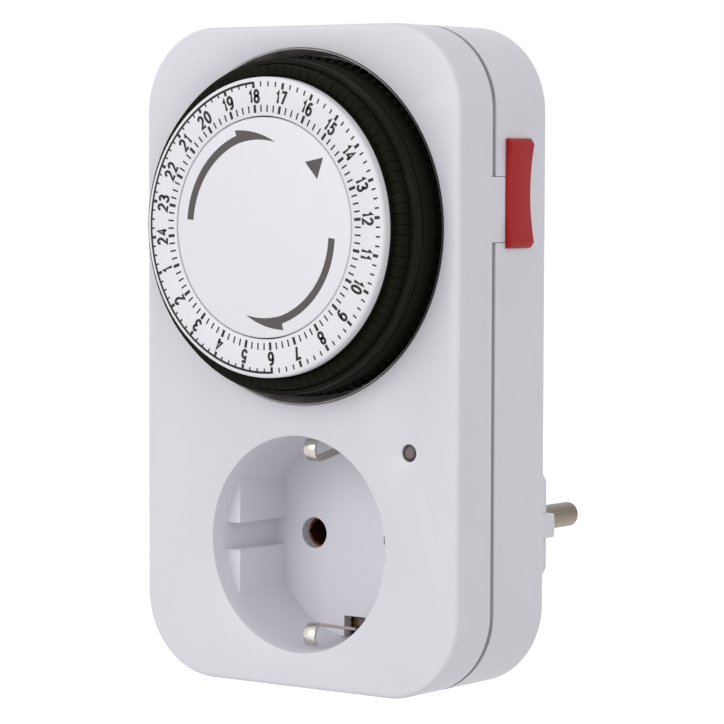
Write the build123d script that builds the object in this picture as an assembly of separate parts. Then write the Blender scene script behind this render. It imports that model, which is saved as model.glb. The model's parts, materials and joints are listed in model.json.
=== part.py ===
from build123d import *
import math
import os

# Plug-in 24 hour timer switch: an earthed socket and a segment dial in front, an earthed plug behind.
# Millimetres. X is to the right, Y goes away from the user into the wall and Z is up.
# The origin is the centre of the plug's face, midway between the plug pins.

# ---------------------------------------------------------------- clearances and common sizes
TOUCH = 0.05          # pieces pushed together
SLIP = 0.1            # pieces that slide past each other
RUN = 0.3             # pieces that turn past each other
SHAFT_RUN = 0.05      # a shaft in its bearing, on the radius
OVERCUT = 1.0         # how far a cutting solid stands past the face it opens
ROOT = 0.3            # how far a rib or boss is sunk into the wall that carries it

# ---------------------------------------------------------------- housing
BODY_WIDTH = 71.2
BODY_HEIGHT = 120.0
BODY_DEPTH = 27.7
CORNER_RADIUS = 15.5
FRONT_EDGE_RADIUS = 0.9
BACK_EDGE_RADIUS = 1.4
WALL = 2.2
FRONT_SHELL_DEPTH = 10.1
GROOVE_WIDTH = 1.1
GROOVE_DEPTH = 1.1
LIP_THICKNESS = 0.95
LIP_HEIGHT = 2.4
SOCKET_ABOVE_BOTTOM = 26.2

# ---------------------------------------------------------------- plug
PLUG_DEPTH = 29.0
PLUG_BASE_DEPTH = 9.0
PLUG_BASE_RADIUS = 23.0
PLUG_RADIUS = 18.8
PLUG_FLAT_HALF = 16.85
PLUG_RIB_HALF = 2.25
PLUG_WALL = 2.15
PLUG_FACE_THICKNESS = 3.0
PLUG_EDGE = 0.6
PIN_SPACING = 19.0
PIN_RADIUS = 2.4
PIN_LENGTH = 19.0
PIN_TIP_CHAMFER = 0.8
PIN_NECK_RADIUS = 2.6
PIN_NECK_PROUD = 0.2
PIN_FLANGE_RADIUS = 3.3
PIN_FLANGE_THICKNESS = 1.5
PIN_SHANK_RADIUS = 2.0
LINE_SHANK_LENGTH = 7.0

# ---------------------------------------------------------------- socket recess
RECESS_DEPTH = 17.5
RECESS_MOUTH_RADIUS = 19.75
RECESS_FLOOR_RADIUS = 19.0
CUP_WALL = 1.8
GUIDE_HALF = 16.3
GUIDE_START = 3.8
GUIDE_CHANNEL_HALF = 2.5
ENTRY_RADIUS = 2.9
CLIP_SLOT_HALF = 2.45
CLIP_SLOT_LOW = 15.0

# ---------------------------------------------------------------- contacts
SLEEVE_BORE = 2.45
SLEEVE_RADIUS = 3.3
SLEEVE_LENGTH = 18.8
SLEEVE_END = 1.8
SLEEVE_SLIT = 0.6
SLEEVE_SLIT_LENGTH = 11.0
TOWER_WALL = 1.15
CARRIER_HALF_WIDTH = 17.0
CARRIER_HALF_HEIGHT = 11.0
CARRIER_THICKNESS = 2.8
TOWER_SLOT_HALF = 1.4
STRAP_THICKNESS = 0.6
CLIP_HALF_WIDTH = 1.3
CLIP_SLOT_OFFSET = 2.5
CLIP_ROOT_LEAN = 0.3
CLIP_LEAN = 2.4
CLIP_ARM_END = 2.0
CLIP_CURL_HEIGHT = 1.3
CLIP_CURL_NOSE = 1.7
CLIP_CURL_BACK = 0.8
PLUG_STRAP_HALF_WIDTH = 2.6
EARTH_CHANNEL_DEPTH = 1.5
EARTH_STRAP_END = 2.0
EARTH_RIVET_RADIUS = 1.2

# ---------------------------------------------------------------- dial
DIAL_PROUD = 10.2
DIAL_SIDE_MARGIN = 3.4
DIAL_TOP_MARGIN = 4.0
DIAL_SOCKET_GAP = 3.85
SKIRT_INSET = 1.95
SKIRT_WALL = 0.95
SKIRT_AROUND = 0.8
SKIRT_STEP = 0.2
SKIRT_STEP_LENGTH = 2.4
SKIRT_SUNK = 3.9
DRUM_ABOVE_FRONT = 0.8
NUMERAL_BAND = 6.9
NUMERAL_RING_THICKNESS = 1.9
NUMERAL_RIM_RADIUS = 0.6
CENTRE_DISC_THICKNESS = 1.6
DIAL_GROOVE = 0.25
TAPPET_COUNT = 96
FREE_TAPPETS = 4
FREE_TAPPETS_FROM = 56
TAPPET_RADIAL = 2.15
TAPPET_HEIGHT = 2.8
TAPPET_SIDE_GAP = 0.25
TAPPET_STEP = 2.6
TAPPET_TRAVEL = 2.0
STEM_WIDTH = 0.9
STEM_PROUD = 1.0
GRIP_RIB_PROUD = 0.45
GRIP_RIB_LENGTH = 2.6
GRIP_GROOVE_SHARE = 0.3
GRIP_SLOPE_SHARE = 0.12
DRUM_WEB = 1.6
HUB_WALL = 2.45
POST_SHARE = 8.05
POST_SHOULDER = 2.0
POST_TIP_RADIUS = 2.5
POST_TIP_LENGTH = 0.9
COLLAR_PROUD = 0.15
COLLAR_EDGE = 0.2
COLLAR_FLANGE = 0.8

# ---------------------------------------------------------------- movement
PRESSURE_ANGLE = 25.0
BACKLASH = 0.12
TOOTH_HEIGHT = 0.9
TOOTH_DEPTH = 1.2
RING_TOOTH_HEIGHT = 0.8
RING_TOOTH_DEPTH = 1.25
FLANK_STEPS = 4
DIAL_TEETH = 72
DIAL_GEAR_INSET = 4.7
DIAL_GEAR_RIM = 2.2
DIAL_GEAR_WIDTH = 3.3
IDLER_PINION_TEETH = 12
IDLER_WHEEL_TEETH = 40
MOTOR_PINION_TEETH = 10
WHEEL_MODULE_SHARE = 5 / 6
WHEEL_THICKNESS = 2.2
IDLER_ANGLE = 135.0
MOTOR_ANGLE = -81.0
IDLER_STUD_RADIUS = 1.0
PLATE_DEPTH = 6.2
PLATE_THICKNESS = 2.0
PLATE_SIDE_GAP = 1.0
PLATE_SCREW_GAP = 3.8
PLATE_BOTTOM_GAP = 2.8
PLATE_SHOULDER = 11.0
PLATE_POST_RADIUS = 2.6
PLATE_POST_SIDE = 4.3
PLATE_POST_TOP = 3.3
PLATE_POST_LOW = 3.8
MOTOR_RADIUS = 17.0
MOTOR_LENGTH = 12.5
MOTOR_OFFSET = 6.0
MOTOR_SKIN = 0.8
MOTOR_EAR_REACH = 20.0
MOTOR_EAR_HALF = 4.0
MOTOR_EAR_ANGLE = 45.0
MOTOR_SHAFT_RADIUS = 1.0
GEARHEAD_RADIUS = 7.8

# ---------------------------------------------------------------- override switch
CAP_LENGTH = 19.5
CAP_WIDTH = 7.6
CAP_PROUD = 1.5
CAP_SADDLE = 1.05
CAP_GAP = 0.15
CAP_EDGE = 0.35
CAP_TRAVEL = 5.7
SLOT_HEIGHT = 11.8
SLOT_ABOVE_DIAL = 3.4
CAP_FROM_FRONT = 14.1
STEM_INSET = 0.4
STEM_BACK_INSET = 2.0
SLOT_BACK_INSET = 1.6
CARRIER_PLATE = 2.45
CARRIER_LUG_FRONT = 2.7
RAMP_GAP = 0.1

# ---------------------------------------------------------------- lever and microswitch
LEVER_PIVOT_BELOW_DIAL = 12.1
LEVER_PIVOT_BEHIND = 2.4
LEVER_BEHIND_PLATE_FACE = 1.1
SWITCH_BEHIND_LEVER = 2.4
LEVER_HUB_RADIUS = 2.2
LEVER_PIN_RADIUS = 1.0
LEVER_THICKNESS = 1.6
LEVER_LEFT_OF_NOSE = 3.5
LEVER_SWING = 4.6
LEVER_NOSE = 2.4
LEVER_NOSE_WIDTH = 1.4
LEVER_NOSE_GAP = 1.2
EAR_THICKNESS = 1.9
SWITCH_WIDTH = 6.4
SWITCH_LEFT_OF_LEVER = 1.7
SWITCH_HEIGHT = 20.0
SWITCH_DEPTH = 10.2
SWITCH_ABOVE_PIVOT = 3.5
PLUNGER_RADIUS = 1.2
PLUNGER_DOME = 0.5
PLUNGER_ABOVE_PIVOT = 9.5
PLUNGER_INSIDE = 2.6
TERMINAL_LENGTH = 3.3
TERMINAL_THICKNESS = 0.5
TERMINAL_HALF_WIDTH = 1.2
TERMINAL_PITCH = 7.5
CHEEK = 2.0

# ---------------------------------------------------------------- indicator lamp
LAMP_FROM_SIDE = 10.7
LAMP_Z = 18.0
LENS_RADIUS = 1.5
LENS_FLANGE_RADIUS = 2.4
LENS_FLANGE = 0.8
LENS_SUNK = 0.3
LAMP_TUBE_BORE = 2.6
LAMP_TUBE_WALL = 1.0
LAMP_TUBE_LENGTH = 7.5
BULB_RADIUS = 2.1
BULB_LENGTH = 8.5
BULB_DOME = 1.7
RESISTOR_RADIUS = 1.1
RESISTOR_LENGTH = 5.0
LEAD_RADIUS = 0.4
WIRE_RADIUS = 0.85
WIRE_BEND = 1.4
LINE_WALL_GAP = 0.8
LINE_ANGLE = 33.0
MOTOR_LEAD_RADIUS = 0.6
LEAD_GAP = 0.9
LEAD_RISE = 6.0
NEUTRAL_Z = 14.0
SWITCHED_X = 14.0

# ---------------------------------------------------------------- screws
HOUSING_SCREW_SIDE = 8.6
HOUSING_SCREW_INSET = 9.3
HOUSING_SCREW_RADIUS = 1.5
HOUSING_SCREW_LENGTH = 14.0
HOUSING_HEAD_RADIUS = 2.75
HOUSING_HEAD_HEIGHT = 2.0
HOUSING_POST_RADIUS = 3.2
HOUSING_BOSS_RADIUS = 4.2
HOUSING_POST_PAST_GROOVE = 0.6
SMALL_SCREW_RADIUS = 1.0
SMALL_HEAD_RADIUS = 1.9
SMALL_HEAD_HEIGHT = 1.2
SMALL_SCREW_GRIP = 3.0
SCREW_CROSS_SHARE = 0.6

# ---------------------------------------------------------------- levels along Y
BACK_Y = -PLUG_DEPTH
FRONT_Y = BACK_Y - BODY_DEPTH
INNER_FRONT_Y = FRONT_Y + WALL
INNER_BACK_Y = BACK_Y - WALL
FRONT_SHELL_Y = FRONT_Y + FRONT_SHELL_DEPTH
REAR_SHELL_Y = FRONT_SHELL_Y + GROOVE_WIDTH
LIP_Y = FRONT_SHELL_Y - LIP_HEIGHT
RECESS_FLOOR_Y = FRONT_Y + RECESS_DEPTH
CUP_BACK_Y = RECESS_FLOOR_Y + WALL
PLUG_BASE_Y = BACK_Y + PLUG_BASE_DEPTH
PIN_FLANGE_Y = -PLUG_FACE_THICKNESS - PIN_FLANGE_THICKNESS
SLEEVE_END_Y = CUP_BACK_Y + SLEEVE_LENGTH
PLATE_Y = FRONT_Y + PLATE_DEPTH
PLATE_BACK_Y = PLATE_Y + PLATE_THICKNESS
MEET_Y = FRONT_SHELL_Y + HOUSING_POST_PAST_GROOVE

DIAL_FRONT_Y = FRONT_Y - DIAL_PROUD
RING_BACK_Y = DIAL_FRONT_Y + NUMERAL_RING_THICKNESS
TAPPET_FRONT_Y = DIAL_FRONT_Y + TAPPET_STEP
TAPPET_BACK_Y = TAPPET_FRONT_Y + TAPPET_HEIGHT
COLLAR_FRONT_Y = FRONT_Y - COLLAR_PROUD
WIRE_Y = INNER_BACK_Y - WIRE_RADIUS - RUN
LEAD_Y = INNER_BACK_Y - MOTOR_LEAD_RADIUS - RUN * 2
DRUM_BACK_Y = FRONT_Y - DRUM_ABOVE_FRONT
SKIRT_FRONT_Y = TAPPET_BACK_Y - SKIRT_AROUND
SKIRT_END_Y = FRONT_Y + SKIRT_SUNK
COLLAR_BACK_Y = SKIRT_END_Y + RUN
DRUM_FLOOR_Y = TAPPET_BACK_Y + TAPPET_TRAVEL + SLIP
STEM_END_Y = DRUM_BACK_Y + STEM_PROUD
DIAL_GEAR_BACK_Y = DRUM_BACK_Y + DIAL_GEAR_WIDTH
WHEEL_BACK_Y = PLATE_Y - RUN * 3
WHEEL_FRONT_Y = WHEEL_BACK_Y - WHEEL_THICKNESS
POST_SHOULDER_Y = DIAL_GEAR_BACK_Y - DIAL_GEAR_WIDTH / 3
DISC_BACK_Y = DIAL_FRONT_Y + CENTRE_DISC_THICKNESS

# ---------------------------------------------------------------- heights and sides
BODY_Z = BODY_HEIGHT / 2 - SOCKET_ABOVE_BOTTOM
BODY_TOP_Z = BODY_HEIGHT - SOCKET_ABOVE_BOTTOM
SIDE_X = BODY_WIDTH / 2
INNER_SIDE_X = SIDE_X - WALL
CUP_RADIUS = RECESS_MOUTH_RADIUS + CUP_WALL
ABOVE_CUP = BODY_TOP_Z - DIAL_TOP_MARGIN - CUP_RADIUS - DIAL_SOCKET_GAP
COLLAR_RADIUS = min(SIDE_X - DIAL_SIDE_MARGIN, ABOVE_CUP / 2)
DIAL_Z = BODY_TOP_Z - DIAL_TOP_MARGIN - COLLAR_RADIUS
SKIRT_RADIUS = COLLAR_RADIUS - SKIRT_INSET
TAPPET_OUT = SKIRT_RADIUS - SKIRT_WALL - SLIP
TAPPET_IN = TAPPET_OUT - TAPPET_RADIAL
TAPPET_MID = (TAPPET_IN + TAPPET_OUT) / 2
NUMERAL_RING_RADIUS = TAPPET_IN - DIAL_GROOVE
CENTRE_DISC_RADIUS = NUMERAL_RING_RADIUS - NUMERAL_BAND - DIAL_GROOVE
POST_RADIUS = COLLAR_RADIUS / POST_SHARE
POST_SHOULDER_RADIUS = POST_RADIUS + POST_SHOULDER
DIAL_MODULE = (TAPPET_IN - DIAL_GEAR_INSET) / (DIAL_TEETH / 2 + RING_TOOTH_DEPTH)
WHEEL_MODULE = DIAL_MODULE * WHEEL_MODULE_SHARE
LAMP_X = SIDE_X - LAMP_FROM_SIDE
HOUSING_SCREW_X = SIDE_X - HOUSING_SCREW_SIDE
PLATE_HALF_WIDTH = INNER_SIDE_X - PLATE_SIDE_GAP
PLATE_TAB_HALF = HOUSING_SCREW_X - PLATE_SCREW_GAP
PLATE_LOW_Z = CUP_RADIUS + PLATE_BOTTOM_GAP
PLATE_HIGH_Z = BODY_TOP_Z - WALL - RUN
PIN_X = PIN_SPACING / 2
SLOT_LOW_Z = DIAL_Z + SLOT_ABOVE_DIAL - SLOT_HEIGHT / 2
SLOT_HIGH_Z = SLOT_LOW_Z + SLOT_HEIGHT
CAP_FRONT_Y = FRONT_Y + CAP_FROM_FRONT
CAP_BACK_Y = CAP_FRONT_Y + CAP_WIDTH
KNOB_STEM_FRONT_Y = CAP_FRONT_Y + STEM_INSET
KNOB_STEM_BACK_Y = CAP_BACK_Y - STEM_BACK_INSET
KNOB_STEM_HIGH_Z = SLOT_HIGH_Z - SLIP * 2
KNOB_STEM_LOW_Z = SLOT_LOW_Z + CAP_TRAVEL + SLIP * 2
CAP_Z = (KNOB_STEM_LOW_Z + KNOB_STEM_HIGH_Z) / 2
PIVOT_Z = DIAL_Z - LEVER_PIVOT_BELOW_DIAL
LEVER_FRONT_Y = PLATE_Y + LEVER_BEHIND_PLATE_FACE
LEVER_BACK_Y = LEVER_FRONT_Y + LEVER_THICKNESS
PIVOT_Y = LEVER_FRONT_Y + LEVER_PIVOT_BEHIND
CARRIER_OUT_X = INNER_SIDE_X - DIAL_GROOVE
CARRIER_IN_X = CARRIER_OUT_X - CARRIER_PLATE
LEVER_RIGHT_X = CARRIER_IN_X - RUN * 2
LEVER_LEFT_X = TAPPET_MID - LEVER_LEFT_OF_NOSE
LUG_LEFT_X = TAPPET_MID + LEVER_NOSE_WIDTH / 2 + RUN
LEVER_TOP_Z = KNOB_STEM_LOW_Z - SLIP * 2
SWITCH_LEFT_X = LEVER_LEFT_X - SWITCH_LEFT_OF_LEVER
SWITCH_RIGHT_X = SWITCH_LEFT_X + SWITCH_WIDTH
SWITCH_X = (SWITCH_LEFT_X + SWITCH_RIGHT_X) / 2
SWITCH_LOW_Z = PIVOT_Z + SWITCH_ABOVE_PIVOT
SWITCH_FRONT_Y = LEVER_BACK_Y + SWITCH_BEHIND_LEVER
SWITCH_BACK_Y = SWITCH_FRONT_Y + SWITCH_DEPTH
PLUNGER_Z = PIVOT_Z + PLUNGER_ABOVE_PIVOT
IDLER_DISTANCE = (DIAL_TEETH - IDLER_PINION_TEETH) * DIAL_MODULE / 2
MOTOR_DISTANCE = (IDLER_WHEEL_TEETH + MOTOR_PINION_TEETH) * WHEEL_MODULE / 2
IDLER_X = IDLER_DISTANCE * math.cos(math.radians(IDLER_ANGLE))
IDLER_Z = DIAL_Z + IDLER_DISTANCE * math.sin(math.radians(IDLER_ANGLE))
MOTOR_X = IDLER_X + MOTOR_DISTANCE * math.cos(math.radians(MOTOR_ANGLE))
MOTOR_SHAFT_Z = IDLER_Z + MOTOR_DISTANCE * math.sin(math.radians(MOTOR_ANGLE))
MOTOR_Z = MOTOR_SHAFT_Z - MOTOR_OFFSET
MOTOR_BACK_Y = PLATE_BACK_Y + MOTOR_LENGTH
MOTOR_SCREWS = [
    (
        MOTOR_X + side * MOTOR_EAR_REACH * math.cos(math.radians(MOTOR_EAR_ANGLE)),
        MOTOR_Z + side * MOTOR_EAR_REACH * math.sin(math.radians(MOTOR_EAR_ANGLE)),
    )
    for side in (-1, 1)
]
PLATE_POSTS = [
    (side * (half - PLATE_POST_SIDE), z)
    for side in (-1, 1)
    for half, z in (
        (PLATE_TAB_HALF, PLATE_HIGH_Z - PLATE_POST_TOP),
        (PLATE_HALF_WIDTH, PLATE_LOW_Z + PLATE_POST_LOW),
    )
]
HOUSING_SCREWS = [
    (side * HOUSING_SCREW_X, z)
    for side in (-1, 1)
    for z in (BODY_TOP_Z - HOUSING_SCREW_INSET, HOUSING_SCREW_INSET - SOCKET_ABOVE_BOTTOM)
]


# ---------------------------------------------------------------- shape helpers
def slab(outline, y_low, y_high):
    """Give an outline drawn in X and Z its thickness along Y."""
    plane = Plane((0, y_high, 0), x_dir=(1, 0, 0), z_dir=(0, -1, 0))
    return extrude(plane * outline, y_high - y_low)


def rod(x, z, radius, y_low, y_high):
    return slab(Pos(x, z) * Circle(radius), y_low, y_high)


def ring(inner, outer, y_low, y_high, z=DIAL_Z):
    return slab(Pos(0, z) * (Circle(outer) - Circle(inner)), y_low, y_high)


def block(x_low, x_high, y_low, y_high, z_low, z_high):
    centre = Pos((x_low + x_high) / 2, (y_low + y_high) / 2, (z_low + z_high) / 2)
    return centre * Box(x_high - x_low, y_high - y_low, z_high - z_low)


def turned(points, z=0.0):
    """Turn a closed outline of (radius, y) points about the Y axis."""
    return Pos(0, 0, z) * revolve(make_face(Polyline(*points, close=True)), Axis.Y)


def cross_rod(y, z, radius, x_low, x_high):
    """A rod along X."""
    plane = Plane((x_low, 0, 0), x_dir=(0, 1, 0), z_dir=(1, 0, 0))
    return extrude(plane * (Pos(y, z) * Circle(radius)), x_high - x_low)


def side_slab(points, x_low, x_high):
    """Give a closed outline of (y, z) points its thickness along X."""
    plane = Plane((x_low, 0, 0), x_dir=(0, 1, 0), z_dir=(1, 0, 0))
    return extrude(plane * make_face(Polyline(*points, close=True)), x_high - x_low)


def edges_at(solid, y):
    return solid.edges().filter_by_position(Axis.Y, y - 0.001, y + 0.001)


def body_outline(inset):
    width = BODY_WIDTH - 2 * inset
    height = BODY_HEIGHT - 2 * inset
    return Pos(0, BODY_Z) * RectangleRounded(width, height, CORNER_RADIUS - inset)


def involute(angle):
    return math.tan(angle) - angle


def gear_outline(teeth, module, addendum, dedendum, backlash, turn):
    """Involute teeth about the origin; one tooth is centred on the turn angle, in degrees."""
    pitch = teeth * module / 2
    pressure = math.radians(PRESSURE_ANGLE)
    base = pitch * math.cos(pressure)
    tip = pitch + addendum * module
    root = pitch - dedendum * module
    half = (math.pi * module - 2 * backlash) / 4 / pitch
    start = max(base, root)
    flank = []
    if root < base:
        flank.append((root, half + involute(pressure)))
    for step in range(FLANK_STEPS + 1):
        radius = start + (tip - start) * step / FLANK_STEPS
        rolled = involute(math.acos(min(1.0, base / radius)))
        flank.append((radius, half + involute(pressure) - rolled))
    points = []
    for tooth in range(teeth):
        centre = math.radians(turn) + 2 * math.pi * tooth / teeth
        for radius, angle in flank:
            points.append((radius * math.cos(centre - angle), radius * math.sin(centre - angle)))
        for radius, angle in reversed(flank):
            points.append((radius * math.cos(centre + angle), radius * math.sin(centre + angle)))
    return make_face(Polyline(*points, close=True))


def round_dial(solid, place, count=TAPPET_COUNT):
    """Turn a solid made on the +X side of the dial to one of its equal places."""
    return Pos(0, 0, DIAL_Z) * Rot(0, 360.0 * place / count, 0) * solid


def wire(points, radius, bend):
    path = FilletPolyline(*points, radius=bend)
    start = Plane(path @ 0, z_dir=path % 0)
    return sweep(start * Circle(radius), path)


def screw(x, z, head_y, radius, length, head_radius, head_height, slot):
    """A cross-slotted screw that is driven from the back: the head stands behind head_y."""
    body = rod(x, z, head_radius, head_y, head_y + head_height)
    body += rod(x, z, radius, head_y - length, head_y)
    arm = head_radius * SCREW_CROSS_SHARE
    for half_x, half_z in ((arm, slot), (slot, arm)):
        low = head_y + head_height / 2
        body -= block(x - half_x, x + half_x, low, low + head_height, z - half_z, z + half_z)
    return body


# ---------------------------------------------------------------- housing
def recess_space():
    """The air of the socket recess: a drafted round well with two flat-faced guides at its sides."""
    well = turned(
        [
            (0, FRONT_Y - OVERCUT),
            (RECESS_MOUTH_RADIUS, FRONT_Y - OVERCUT),
            (RECESS_MOUTH_RADIUS, FRONT_Y),
            (RECESS_FLOOR_RADIUS, RECESS_FLOOR_Y),
            (0, RECESS_FLOOR_Y),
        ]
    )
    reach = RECESS_MOUTH_RADIUS + OVERCUT
    for side in (-1, 1):
        near, far = sorted((side * GUIDE_HALF, side * reach))
        guide = block(near, far, FRONT_Y + GUIDE_START, RECESS_FLOOR_Y + OVERCUT, -reach, reach)
        guide -= block(
            near, far, FRONT_Y, RECESS_FLOOR_Y + 2 * OVERCUT, -GUIDE_CHANNEL_HALF, GUIDE_CHANNEL_HALF
        )
        well -= guide
    return well


def tongue():
    """The strip of the front shell that closes the front of the override slot."""
    return block(
        INNER_SIDE_X,
        SIDE_X,
        FRONT_SHELL_Y - LIP_HEIGHT * 2,
        CAP_FRONT_Y + SLIP,
        SLOT_LOW_Z + SLIP,
        SLOT_HIGH_Z - SLIP,
    )


def front_shell():
    shell = slab(body_outline(0), FRONT_Y, FRONT_SHELL_Y)
    shell = fillet(edges_at(shell, FRONT_Y), FRONT_EDGE_RADIUS)
    shell -= slab(body_outline(WALL), INNER_FRONT_Y, FRONT_SHELL_Y + OVERCUT)
    rebate = body_outline(GROOVE_DEPTH - SLIP) - body_outline(WALL + SLIP)
    shell -= slab(rebate, LIP_Y - SLIP, FRONT_SHELL_Y + OVERCUT)
    cup = turned(
        [
            (0, FRONT_Y + WALL / 2),
            (CUP_RADIUS, FRONT_Y + WALL / 2),
            (RECESS_FLOOR_RADIUS + CUP_WALL, CUP_BACK_Y),
            (0, CUP_BACK_Y),
        ]
    )
    shell += cup
    shell -= recess_space()
    for side in (-1, 1):
        shell -= rod(side * PIN_X, 0, ENTRY_RADIUS, RECESS_FLOOR_Y - OVERCUT, CUP_BACK_Y + OVERCUT)
        low, high = sorted((side * CLIP_SLOT_LOW, side * RECESS_FLOOR_RADIUS))
        shell -= block(
            -CLIP_SLOT_HALF, CLIP_SLOT_HALF, RECESS_FLOOR_Y - OVERCUT, CUP_BACK_Y + OVERCUT, low, high
        )
    for x, z in PLATE_POSTS:
        shell += rod(x, z, PLATE_POST_RADIUS, INNER_FRONT_Y - ROOT, PLATE_Y)
        shell -= rod(x, z, SMALL_SCREW_RADIUS, INNER_FRONT_Y + ROOT, PLATE_Y + OVERCUT)
    for x, z in HOUSING_SCREWS:
        shell += rod(x, z, HOUSING_POST_RADIUS, INNER_FRONT_Y - ROOT, MEET_Y)
        shell -= rod(x, z, HOUSING_SCREW_RADIUS, INNER_FRONT_Y + ROOT, MEET_Y + OVERCUT)
    shell += tongue()
    tube = LAMP_TUBE_BORE + LAMP_TUBE_WALL
    shell += rod(LAMP_X, LAMP_Z, tube, INNER_FRONT_Y - ROOT, INNER_FRONT_Y + LAMP_TUBE_LENGTH)
    shell -= rod(LAMP_X, LAMP_Z, LAMP_TUBE_BORE, INNER_FRONT_Y, INNER_FRONT_Y + LAMP_TUBE_LENGTH + OVERCUT)
    shell -= rod(LAMP_X, LAMP_Z, LENS_RADIUS + TOUCH, FRONT_Y - OVERCUT, INNER_FRONT_Y + OVERCUT)
    shell -= rod(0, DIAL_Z, COLLAR_RADIUS, FRONT_Y - OVERCUT, INNER_FRONT_Y + OVERCUT)
    return shell


def plug_outline(inset):
    """The plug's round section with flattened sides."""
    radius = PLUG_RADIUS - inset
    flat = PLUG_FLAT_HALF - inset
    return Circle(radius) & Rectangle(2 * flat, 2 * PLUG_RADIUS)


def rear_shell():
    shell = slab(body_outline(0), REAR_SHELL_Y, BACK_Y)
    shell = fillet(edges_at(shell, BACK_Y), BACK_EDGE_RADIUS)
    shell -= slab(body_outline(WALL), REAR_SHELL_Y - OVERCUT, INNER_BACK_Y)
    lip = body_outline(GROOVE_DEPTH) - body_outline(GROOVE_DEPTH + LIP_THICKNESS)
    shell += slab(lip, LIP_Y, REAR_SHELL_Y + ROOT)
    shell += rod(0, 0, PLUG_BASE_RADIUS, INNER_BACK_Y, PLUG_BASE_Y)
    plug = slab(plug_outline(0), PLUG_BASE_Y - ROOT, 0)
    plug = chamfer(edges_at(plug, 0), PLUG_EDGE)
    ribs = Circle(PLUG_RADIUS) & Rectangle(2 * PLUG_RADIUS, 2 * PLUG_RIB_HALF)
    plug += slab(ribs, PLUG_BASE_Y - ROOT, -PLUG_EDGE)
    shell += plug
    shell -= rod(0, 0, PLUG_BASE_RADIUS - WALL, INNER_BACK_Y - OVERCUT, PLUG_BASE_Y - WALL)
    shell -= slab(plug_outline(PLUG_WALL), PLUG_BASE_Y - WALL - OVERCUT, -PLUG_FACE_THICKNESS)
    channel_z = PLUG_RADIUS - EARTH_CHANNEL_DEPTH
    channel_half = PLUG_STRAP_HALF_WIDTH + RUN * 2
    for side in (-1, 1):
        shell -= rod(side * PIN_X, 0, PIN_NECK_RADIUS + TOUCH, -PLUG_FACE_THICKNESS - OVERCUT, OVERCUT)
        low, high = sorted((side * channel_z, side * (PLUG_RADIUS + RUN)))
        shell -= block(
            -channel_half, channel_half, PLUG_BASE_Y - WALL - OVERCUT, -EARTH_STRAP_END + SLIP, low, high
        )
    for x, z in HOUSING_SCREWS:
        shell += rod(x, z, HOUSING_BOSS_RADIUS, MEET_Y, INNER_BACK_Y + ROOT)
        shell -= rod(x, z, HOUSING_SCREW_RADIUS + SLIP, MEET_Y - OVERCUT, BACK_Y + OVERCUT)
        head_y = MEET_Y + HOUSING_SCREW_LENGTH / 2
        shell -= rod(x, z, HOUSING_HEAD_RADIUS + SLIP, head_y, BACK_Y + OVERCUT)
    shell -= block(
        INNER_SIDE_X - OVERCUT, SIDE_X + OVERCUT, LIP_Y - OVERCUT, CAP_BACK_Y - SLOT_BACK_INSET,
        SLOT_LOW_Z, SLOT_HIGH_Z,
    )
    return shell


def housing_screws():
    head_y = MEET_Y + HOUSING_SCREW_LENGTH / 2
    return [
        screw(x, z, head_y, HOUSING_SCREW_RADIUS - TOUCH, HOUSING_SCREW_LENGTH, HOUSING_HEAD_RADIUS,
              HOUSING_HEAD_HEIGHT, HOUSING_SCREW_RADIUS / 4)
        for x, z in HOUSING_SCREWS
    ]


# ---------------------------------------------------------------- dial
def dial_collar():
    """The glossy dished ring that lines the dial opening, pushed in from behind up to its flange."""
    outer = COLLAR_RADIUS - TOUCH
    flange = outer + COLLAR_FLANGE
    flange_back_y = INNER_FRONT_Y + COLLAR_FLANGE
    return turned(
        [
            (outer - COLLAR_EDGE, COLLAR_FRONT_Y),
            (outer, COLLAR_FRONT_Y),
            (outer, INNER_FRONT_Y),
            (flange, INNER_FRONT_Y),
            (flange, flange_back_y),
            (outer, flange_back_y),
            (outer, COLLAR_BACK_Y),
            (SKIRT_RADIUS + GRIP_RIB_PROUD + RUN, COLLAR_BACK_Y),
        ],
        DIAL_Z,
    )


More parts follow.
